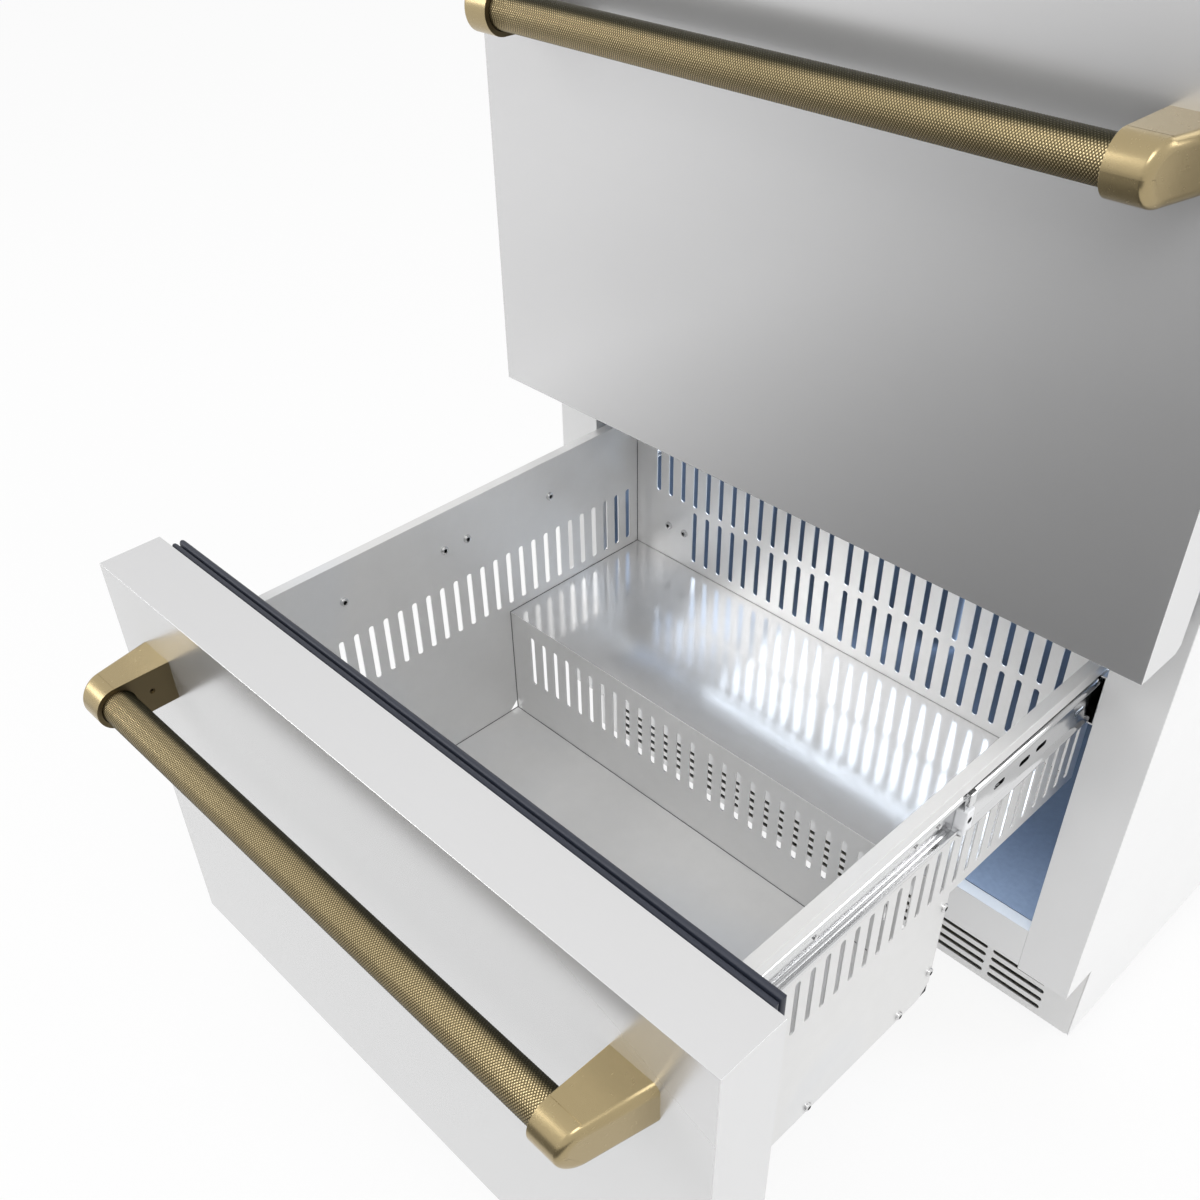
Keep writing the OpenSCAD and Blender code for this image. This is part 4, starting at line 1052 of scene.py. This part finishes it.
@dataclass
class Drawer:
    """One drawer: front, gasket, handle, box, slides and screws."""

    level: Level
    front_bottom: float
    front_height: float
    pulled: float
    stepped: bool
    front_half: float = 297.5
    # painted light: angle of the band painted lit on the handle bar
    lit_band_at: float = 0.0
    seal_inset: float = 9.0
    seal_low: float = 8.5
    seal_high: float = 3.0
    seal_ridges: tuple[tuple[float, float], ...] = ((5.0, 2.7), (11.2, 2.8))
    front_back_y: float = -14.5
    box_in: float = 236.65
    box_front_y: float = -2.5
    seam_w: float = 0.8
    foot_seam_w: float = 0.5
    box_back_y: float = 423.5
    step_y: float = 258.5
    box_drop: float = 48.6
    slide_drop: float = 35.4
    well_depth: float = 249.4
    shelf_depth: float = 134.4
    slide_screw_ys: tuple[float, ...] = (106.0, 208.0, 232.5, 327.0)
    rear_screw_xs: tuple[float, ...] = (-194.4, -174.5)
    edge_screw_backs: tuple[float, ...] = (145.0, 37.0)
    front_edge: Edge = field(default_factory=lambda: Edge(0.35 * MM, 2, clamp=False))

    @property
    def body(self) -> str:
        """Name of the drawer's body."""
        return f"{self.level.value}_drawer"

    def name(self, part: str) -> str:
        """Name of one of the drawer's nodes."""
        return f"{self.level.value}_{part}"

    def at(self, x: float, y: float, z: float) -> Vector:
        """Place in the scene of a point of the drawer."""
        return spot(x, y, z, self.pulled)

    def build(self) -> Pieces:
        """Builds the whole drawer and gives its pieces as a list."""
        top = self.front_bottom + self.front_height
        handle = Handle(self.level, top - 65.25, self.pulled, lit_band_at=self.lit_band_at)
        return [*self.build_front(), *handle.build(), *self.build_box(), *SlideSet(self.level).build(),
                self.build_screws()]

    def build_front(self) -> Pieces:
        """Makes the front's skin, core, inner plate and gasket."""
        back = spot(0.0, self.front_back_y, 0.0, self.pulled).y
        side = self.front_half * MM

        def outside(edge: Rim) -> bool:
            """Says if an edge is one of the long outer ones and not on the rim at the back."""
            return edge.calc_length() > 30 * MM and any(v.co.y < back - 2 * MM for v in edge.verts)

        def number(face: Face) -> int:
            """Gives the two side walls their own finish, a lighter copy of the front steel with painted
            light.
            """
            return 1 if abs(face.normal.x) > 0.92 and abs(face.calc_center_median().x) > side - MM else 0

        skin = SHOP.softened(self.name("front_skin"), self.body, "front_steel", [FRONT, FRONT_SIDE_LIT],
                             self.front_edge, outside, number)
        core = SHOP.softened(self.name("front_core"), self.body, "foam", [FOAM], FOLD_EDGE)
        plate = SHOP.softened(self.name("front_liner"), self.body, "inner_plate", [PLATE], FOLD_EDGE)
        return [skin, core, plate, self.build_gasket()]

    def build_gasket(self) -> Thing:
        """Makes the gasket ring: a flat foot, a neck and two soft ridges with a groove between."""
        outline = [(0.0, 0.0), (0.0, 1.8), (3.1, 2.2)]
        for middle, radius in self.seal_ridges:
            outline += arc(radius + 1.0, middle, -radius, radius, -80.0, 80.0, 8)
            outline.append((5.6, middle + radius + 0.3))
        outline += [(13.0, 14.2), (16.6, 12.6), (17.8, 9.0), (17.4, 4.6), (15.6, 2.4), (24.0, 1.8),
                    (24.0, 0.0)]
        low = self.front_bottom + self.seal_low
        high = self.front_bottom + self.front_height - self.seal_high
        half_w = self.front_half - self.seal_inset
        mesh = bmesh.new()
        loops = []
        for inset, depth in outline:
            made = ops.create_grid(mesh, x_segments=1, y_segments=1, size=1.0)["verts"]
            loops.append(list({e for v in made for e in v.link_edges}))
            for vert in made:
                vert.co = spot(math.copysign(half_w - inset, vert.co.x), self.front_back_y + depth,
                               high - inset if vert.co.y > 0 else low + inset, self.pulled)
        ops.delete(mesh, geom=mesh.faces[:], context="FACES_ONLY")
        for near, far in zip(loops, loops[1:] + loops[:1]):
            ops.bridge_loops(mesh, edges=[*near, *far])
        outward(mesh)
        name = self.name("gasket")
        return SHOP.settle(mesh, f"{name}_ring", self.body, "gasket_rubber", [RUBBER], [name], 40.0)

    def build_box(self) -> Pieces:
        """Makes the box's two sides, its back and its floor, with their cut edges dulled."""
        well = (self.front_bottom + self.front_height - self.box_drop - self.well_depth + 5.0) * MM

        def number(face: Face) -> int:
            """Gives the shelf its own finish."""
            return 1 if abs(face.normal.z) > 0.8 and face.calc_center_median().z > well else 0

        def is_long(edge: Rim) -> bool:
            """Says if an edge is longer than those of the slots."""
            return edge.calc_length() > 90 * MM

        made = []
        for part in ("box_left", "box_right", "box_back"):
            made.append(SHOP.softened(self.name(part), self.body, "box_steel", [BOX], SHEET_EDGE, is_long,
                                      slotted=True))
        made.append(SHOP.softened(self.name("box_floor"), self.body, "box_steel", [BOX, BOX_FLOOR],
                                  SHEET_EDGE, is_long, number, slotted=True))
        return [*made, self.build_seams()]

    def build_seams(self) -> Thing:
        """Lays thin dark strips in the inner corners of the box as painted shade in the joints."""
        rim = self.front_bottom + self.front_height - self.box_drop
        floor = rim - self.well_depth
        shelf = rim - self.shelf_depth if self.stepped else floor
        step = self.step_y if self.stepped else self.box_front_y
        x, back = self.box_in, self.box_back_y
        lines = []
        for side in (-x, x):
            lines += [((side, back, shelf), (side, back, rim)), ((side, step, shelf), (side, back, shelf))]
            if self.stepped:
                lines += [((side, step, floor), (side, step, shelf)),
                          ((side, self.box_front_y, floor), (side, step, floor))]
        if self.stepped:
            lines.append(((-x, step, floor), (x, step, floor)))
        rows = [(line, self.seam_w) for line in lines]
        rows.append((((-x, back, shelf), (x, back, shelf)), self.foot_seam_w))
        mesh = bmesh.new()
        for (start, end), width in rows:
            made = ops.create_cube(mesh, size=1.0)["verts"]
            size = [abs(b - a) * MM + width * MM for a, b in zip(start, end)]
            ops.scale(mesh, verts=made, vec=size)
            middle = [(a + b) / 2 for a, b in zip(start, end)]
            ops.translate(mesh, verts=made, vec=spot(*middle, self.pulled))
        return SHOP.settle(mesh, self.name("box_seams"), self.body, "box_steel", [JOINT_SHADE])

    def build_screws(self) -> Thing:
        """Makes the screws of the box and the bolts and set screws of the brackets."""
        top = self.front_bottom + self.front_height
        rim = top - self.box_drop
        mesh = bmesh.new()
        screw = Screw()
        thin = Screw(shank_length=0.2 * MM)
        edges = [(self.step_y - back, rim - self.well_depth + 6.0) for back in self.edge_screw_backs]
        if self.stepped:
            edges += [(self.step_y - 3.0, rim - self.well_depth + 27.0),
                      (self.step_y - 3.0, rim - self.shelf_depth - 13.5)]
        for side in (-1, 1):
            outward = Vector((side, 0.0, 0.0))
            for y in self.slide_screw_ys:
                at = self.at(side * self.box_in, self.front_back_y + y, rim - self.slide_drop)
                join(mesh, screw.build(at, -outward))
            for y, z in edges:
                join(mesh, thin.build(self.at(side * (self.box_in + 1.0), y, z), outward))
        for x in self.rear_screw_xs:
            join(mesh, screw.build(self.at(x, self.box_back_y, rim - 98.4), Vector((0.0, -1.0, 0.0))))
        self.add_bolts(mesh, top - 65.25)
        return SHOP.settle(mesh, self.name("screws"), self.body, "screw_steel", [SCREW, BRONZE_DARK_AND_SHADE],
                           [self.name("fasteners")], 40.0)

    def add_bolts(self, mesh: Mesh, z: float) -> None:
        """Adds the bracket bolts with their hexagon heads and the socket set screws.

        Args:
            mesh: The mesh of the drawer's screws, which is added to.
            z: Height of the handle's axis in millimetres.
        """
        for side in (-1, 1):
            bolt = rod(self.at(side * 241.5, -61.5, z), Grain.ALONG_Y, 4.9 * MM, 3.5 * MM, 6)
            SHOP.round_edges(bolt, Edge(0.5 * MM, 2))
            join(mesh, bolt)
            join(mesh, rod(self.at(side * 241.5, -76.5, z), Grain.ALONG_Y, 2.5 * MM, 15.5 * MM, 20))
            start = 224.2 if side > 0 else -232.2
            pin = rod(self.at(start, -79.5, z), Grain.ALONG_X, 2.0 * MM, 8.0 * MM, 24)
            head = max(pin.faces, key=lambda f: -side * f.calc_center_median().x)
            ops.inset_region(pin, faces=[head], thickness=0.75 * MM, use_even_offset=True)
            sunk = extruded(pin, head)
            ops.translate(pin, verts=sunk.verts, vec=(side * 1.6 * MM, 0.0, 0.0))
            ops.delete(pin, geom=[head], context="FACES_ONLY")
            outward(pin)
            # the set screw takes the dark bronze that also paints shade on the brackets' inner faces
            for face in pin.faces:
                face.material_index = 1
            join(mesh, pin)


CABINET_PLAN: tuple[tuple[str, str, Finish, Edge], ...] = (
    ("side_panel_left", "cabinet_steel", SIDE, PANEL_EDGE),
    ("side_panel_right", "cabinet_steel", SIDE, PANEL_EDGE),
    ("top_panel", "cabinet_steel", SIDE, PANEL_EDGE),
    ("back_panel", "zinc_sheet", ZINC, Edge(0.3 * MM)),
    ("base_pan", "zinc_sheet", ZINC, FOLD_EDGE),
    ("front_frame", "frame_steel", FRAME, Edge(0.5 * MM, 3)),
    ("sill_plate", "frame_steel", FRAME, Edge(0.5 * MM, 3)),
    ("toe_grille", "frame_steel", FRAME, Edge(0.3 * MM)),
    ("liner", "liner_steel", LINER, Edge(0.3 * MM)),
    ("insulation", "foam", FOAM, FOLD_EDGE),
    ("interior_lamp", "lamp_lens", LENS, Edge(1.2 * MM, 3)),
    ("control_module", "white_plastic", WHITE, CAST_EDGE),
    ("cord_gland", "black_plastic", BLACK, Edge(0.6 * MM, 3)),
    ("slide_outer_lower", "slide_steel", CHROME, Edge(0.35 * MM)),
    ("slide_outer_upper", "slide_steel", CHROME, Edge(0.35 * MM)),
    ("foot_front_left", "foot_plastic", FOOT, FOOT_EDGE),
    ("foot_front_right", "foot_plastic", FOOT, FOOT_EDGE),
    ("foot_back_left", "foot_plastic", FOOT, FOOT_EDGE),
    ("foot_back_right", "foot_plastic", FOOT, FOOT_EDGE),
)
PLANT_PLAN: tuple[tuple[str, str, Finish, Edge], ...] = (
    ("compressor", "compressor_paint", ENAMEL, CAST_EDGE),
    ("compressor_grommets", "grommet_rubber", GROMMET, CAST_EDGE),
    ("condenser_shroud", "black_plastic", BLACK, FOLD_EDGE),
    ("drip_tray", "black_plastic", BLACK, FOLD_EDGE),
    ("evaporator_cover", "white_plastic", WHITE, FOLD_EDGE),
)
PLANT_CARRIED: tuple[tuple[str, Finish], ...] = (
    ("condenser", COIL_DARK),
    ("refrigerant_lines", COPPER),
    ("evaporator", COIL_BARE),
    ("condenser_fan", FAN),
    ("evaporator_fan", FAN),
)


@dataclass
class Fittings:
    """Pieces that keep the shape of their node, with soft edges or carried over as they are."""

    dressed: tuple[tuple[str, str, Finish, Edge], ...]
    carried: tuple[tuple[str, Finish], ...] = ()

    def build(self) -> Pieces:
        """Builds the pieces, each foot on its own body, and gives them as a list."""
        made = [SHOP.softened(node, node if slot == "foot_plastic" else "cabinet", slot, [finish], edge)
                for node, slot, finish, edge in self.dressed]
        return made + [SHOP.paint_node(node, finish) for node, finish in self.carried]


@dataclass
class Studio:
    """Pale floor, soft boxes and the camera of the photograph."""

    camera_at: tuple[float, float, float] = (0.504377, -0.734060, 1.006527)
    azimuth: float = 46.2572
    elevation: float = 40.5162
    roll: float = 1.0760
    focal_px: float = 1279.787
    centre_px: tuple[float, float] = (610.933, 694.270)
    frame_px: float = 1200.0
    white: tuple[float, ...] = (1.0, 1.0, 1.0, 1.0)
    world_light: float = 0.72
    boxes: tuple[tuple[str, tuple[float, float, float], float, float], ...] = (
        ("key box", (-2.0, -2.3, 2.1), 1.5, 34.0),
        ("rim box", (2.3, 1.9, 2.0), 1.3, 29.0),
    )
    card: Area = (-3.6, 2.1, -4.2, -0.95)
    card_dark_x: float = -0.05
    card_reach: float = 1.7
    card_least: float = 0.08
    cloth: Area = (-0.2975, 0.2975, -0.4705, -0.086)
    cloth_z: float = 0.4895
    panels: tuple[tuple[str, tuple[float, float, float], tuple[float, float], float, Colour, float], ...] = (
        ("top panel", (0.55, -0.75, 1.5), (0.6, 0.6), 6.0, (1.0, 1.0, 1.0), 0.0),
        ("compartment glow", (-0.01, 0.16, 0.557), (0.44, 0.20), 1.1, (0.80, 0.89, 1.0), 0.0),
        ("slot glow", (0.0, 0.062, 0.42), (0.46, 0.23), 0.25, (0.80, 0.89, 1.0), -90.0),
    )

    def build(self) -> None:
        """Builds the whole studio."""
        self.build_floor()
        self.build_world()
        self.build_boxes()
        self.build_card()
        self.build_cloth()
        self.build_panels()
        self.build_camera()

    def build_floor(self) -> None:
        """Lays a pale floor that shows white and keeps a soft shadow."""
        floor, graph = self.laid("floor", (-14.0, 14.0, -14.0, 14.0), 0.0)
        fibre = graph.noise(300.0, 3.0, 0.6)
        lit = graph.node("ShaderNodeBsdfPrincipled", {}, {
            "Base Color": graph.tint(fibre, (0.86, 0.86, 0.86), (0.9, 0.9, 0.9)), "Roughness": 0.9})
        white = graph.node("ShaderNodeEmission", {}, {"Color": self.white, "Strength": 1.0})
        mixed = graph.node("ShaderNodeMixShader", {}, {0: self.shown(graph) * 0.88, 1: lit, 2: white})
        graph.node("ShaderNodeOutputMaterial", {}, {"Surface": mixed})

    def build_world(self) -> None:
        """Makes a world that is white to the eye and in metal, and lights at a plain level."""
        world = bpy.data.worlds.new("studio")
        bpy.context.scene.world = world
        world.use_nodes = True
        graph = Graph(world.node_tree)
        strength = self.shown(graph) * (1.0 - self.world_light) + self.world_light
        sky = graph.node("ShaderNodeBackground", {}, {"Color": self.white, "Strength": strength})
        graph.node("ShaderNodeOutputWorld", {}, {"Surface": sky})

    def shown(self, graph: Graph) -> Sock:
        """Is 1 for a ray from the camera, off gloss or through glass, and 0 for one that lights."""
        seen, gloss, clear = [graph.node("ShaderNodeLightPath", {}, {}, f"Is {kind} Ray")
                              for kind in ("Camera", "Glossy", "Transmission")]
        return (seen + gloss + clear).at_most(1.0)

    def build_boxes(self) -> None:
        """Hangs the soft boxes, each pointed at the middle of the drawers."""
        for name, at, size, power in self.boxes:
            aim = Vector((0.0, -0.2, 0.55)) - Vector(at)
            self.lamp(name, at, (size, size), power).rotation_euler = (
                aim.to_track_quat("-Z", "Y").to_euler())

    def lamp(self, name: str, at: Sequence[float], size: tuple[float, float], power: float) -> Thing:
        """Hangs a lamp with a flat face.

        Args:
            name: Its name.
            at: Where it hangs.
            size: Its width and its length.
            power: Its power in watts.

        Returns:
            The lamp.
        """
        light = bpy.data.lights.new(name, "AREA")
        light.shape = "RECTANGLE"
        light.size, light.size_y = size
        light.energy = power
        lamp = placed(name, light)
        lamp.location = at
        return lamp

    def build_card(self) -> None:
        """Lays a graded card in front of the cabinet that only shows in metal."""
        graph, across, along = self.screen("graded_card", self.card, 0.003)
        place = self.card_dark_x - across + (along + 1.57) * 0.45
        self.glow_by(graph, (place * (1.0 / self.card_reach)).at_least(self.card_least))

    def build_cloth(self) -> None:
        """Hangs a graded cloth over the open drawer that only shows in the front above it."""
        graph, across, along = self.screen("graded_cloth", self.cloth, self.cloth_z)
        below = graph.node("ShaderNodeNewGeometry", {}, {}, "Backfacing")
        share = ((0.26 - across) * (1.133 - across * 2.05) * (along * 0.8 + 1.1)).at_least(0.0)
        self.glow_by(graph, share, below)

    def laid(self, name: str, area: Area, z: float) -> tuple[Thing, Graph]:
        """Lays a flat sheet in the studio.

        Args:
            name: The sheet's name.
            area: Its lowest and highest X and its lowest and highest Y.
            z: Its height.

        Returns:
            The sheet and the graph of its material, still empty.
        """
        x0, x1, y0, y1 = area
        mesh = bmesh.new()
        ops.create_grid(mesh, x_segments=1, y_segments=1, size=0.5)
        scaled(mesh, (x1 - x0, y1 - y0, 1.0))
        sheet = placed(name, drawn(name, moved(mesh, ((x0 + x1) / 2, (y0 + y1) / 2, z))))
        paper = new_material(name)
        sheet.data.materials.append(paper)
        return sheet, Graph(paper.node_tree)

    def screen(self, name: str, area: Area,
               z: float) -> tuple[Graph, Sock, Sock]:
        """Lays a sheet that is seen by glossy rays alone.

        Args:
            name: The screen's name.
            area: Its lowest and highest X and its lowest and highest Y.
            z: Its height.

        Returns:
            The graph of its material, and the places across and along it.
        """
        screen, graph = self.laid(name, area, z)
        screen.visible_camera = False
        screen.visible_diffuse = False
        screen.visible_shadow = False
        across, along = [graph.node("ShaderNodeSeparateXYZ", {}, {0: graph.place()}, axis)
                         for axis in ("X", "Y")]
        return graph, across, along

    def glow_by(self, graph: Graph, share: Sock, clear: Sock | None = None) -> None:
        """Ends a screen's graph in a white glow of that share.

        Args:
            graph: The graph.
            share: The level of the glow, from 0 to 1.
            clear: Where it is 1, the screen lets the light through.
        """
        dark = graph.node("ShaderNodeEmission", {}, {"Strength": 0.0})
        white = graph.node("ShaderNodeEmission", {}, {"Color": self.white, "Strength": 1.0})
        mixed = graph.node("ShaderNodeMixShader", {}, {0: share.at_most(1.0), 1: dark, 2: white})
        if clear is not None:
            through = graph.node("ShaderNodeBsdfTransparent")
            mixed = graph.node("ShaderNodeMixShader", {}, {0: clear, 1: mixed, 2: through})
        graph.node("ShaderNodeOutputMaterial", {}, {"Surface": mixed})

    def build_panels(self) -> None:
        """Hangs the small lamps: one above the open drawer, two cool ones in the compartment."""
        for name, at, size, power, colour, tilt in self.panels:
            panel = self.lamp(name, at, size, power)
            panel.data.color = colour
            panel.rotation_euler = (math.radians(tilt), 0.0, 0.0)
            panel.visible_camera = False
            panel.visible_diffuse = tilt == 0.0

    def build_camera(self) -> None:
        """Places the camera where the photograph was taken from."""
        az, el, roll = (math.radians(a) for a in (self.azimuth, self.elevation, self.roll))
        back = Vector((math.sin(az) * math.cos(el), -math.cos(az) * math.cos(el), math.sin(el)))
        right = Vector((math.cos(az), math.sin(az), 0.0))
        down = (-back).cross(right)
        across = right * math.cos(roll) + down * math.sin(roll)
        below = down * math.cos(roll) - right * math.sin(roll)
        turn = Matrix((across, -below, back)).transposed().to_4x4()
        data = bpy.data.cameras.new("camera")
        data.sensor_width = 36.0
        data.lens = self.focal_px / self.frame_px * 36.0
        data.shift_x = (self.frame_px / 2 - self.centre_px[0]) / self.frame_px
        data.shift_y = (self.centre_px[1] - self.frame_px / 2) / self.frame_px
        data.clip_start = 0.02
        data.clip_end = 60.0
        camera = placed("camera", data)
        camera.matrix_world = Matrix.Translation(self.camera_at) @ turn
        bpy.context.scene.camera = camera


def main() -> None:
    """Builds every sub-assembly in order and reports its pieces."""
    logging.basicConfig(level=logging.INFO, format="%(message)s")
    bpy.context.scene.view_settings.view_transform = "Standard"
    Studio().build()
    groups = {
        "cabinet": Fittings(CABINET_PLAN),
        "cooling plant": Fittings(PLANT_PLAN, PLANT_CARRIED),
        # each handle's band of painted light sits at its own angle
        "lower drawer": Drawer(Level.LOWER, 116.0, 372.4, 388.0, True, lit_band_at=50.0),
        "upper drawer": Drawer(Level.UPPER, 492.9, 372.4, 0.0, False, lit_band_at=-8.0),
    }
    for name, group in groups.items():
        for piece in group.build():
            log.info("%s: %s, %d faces", name, piece.name, len(piece.data.polygons))


if __name__ == "__main__":
    main()
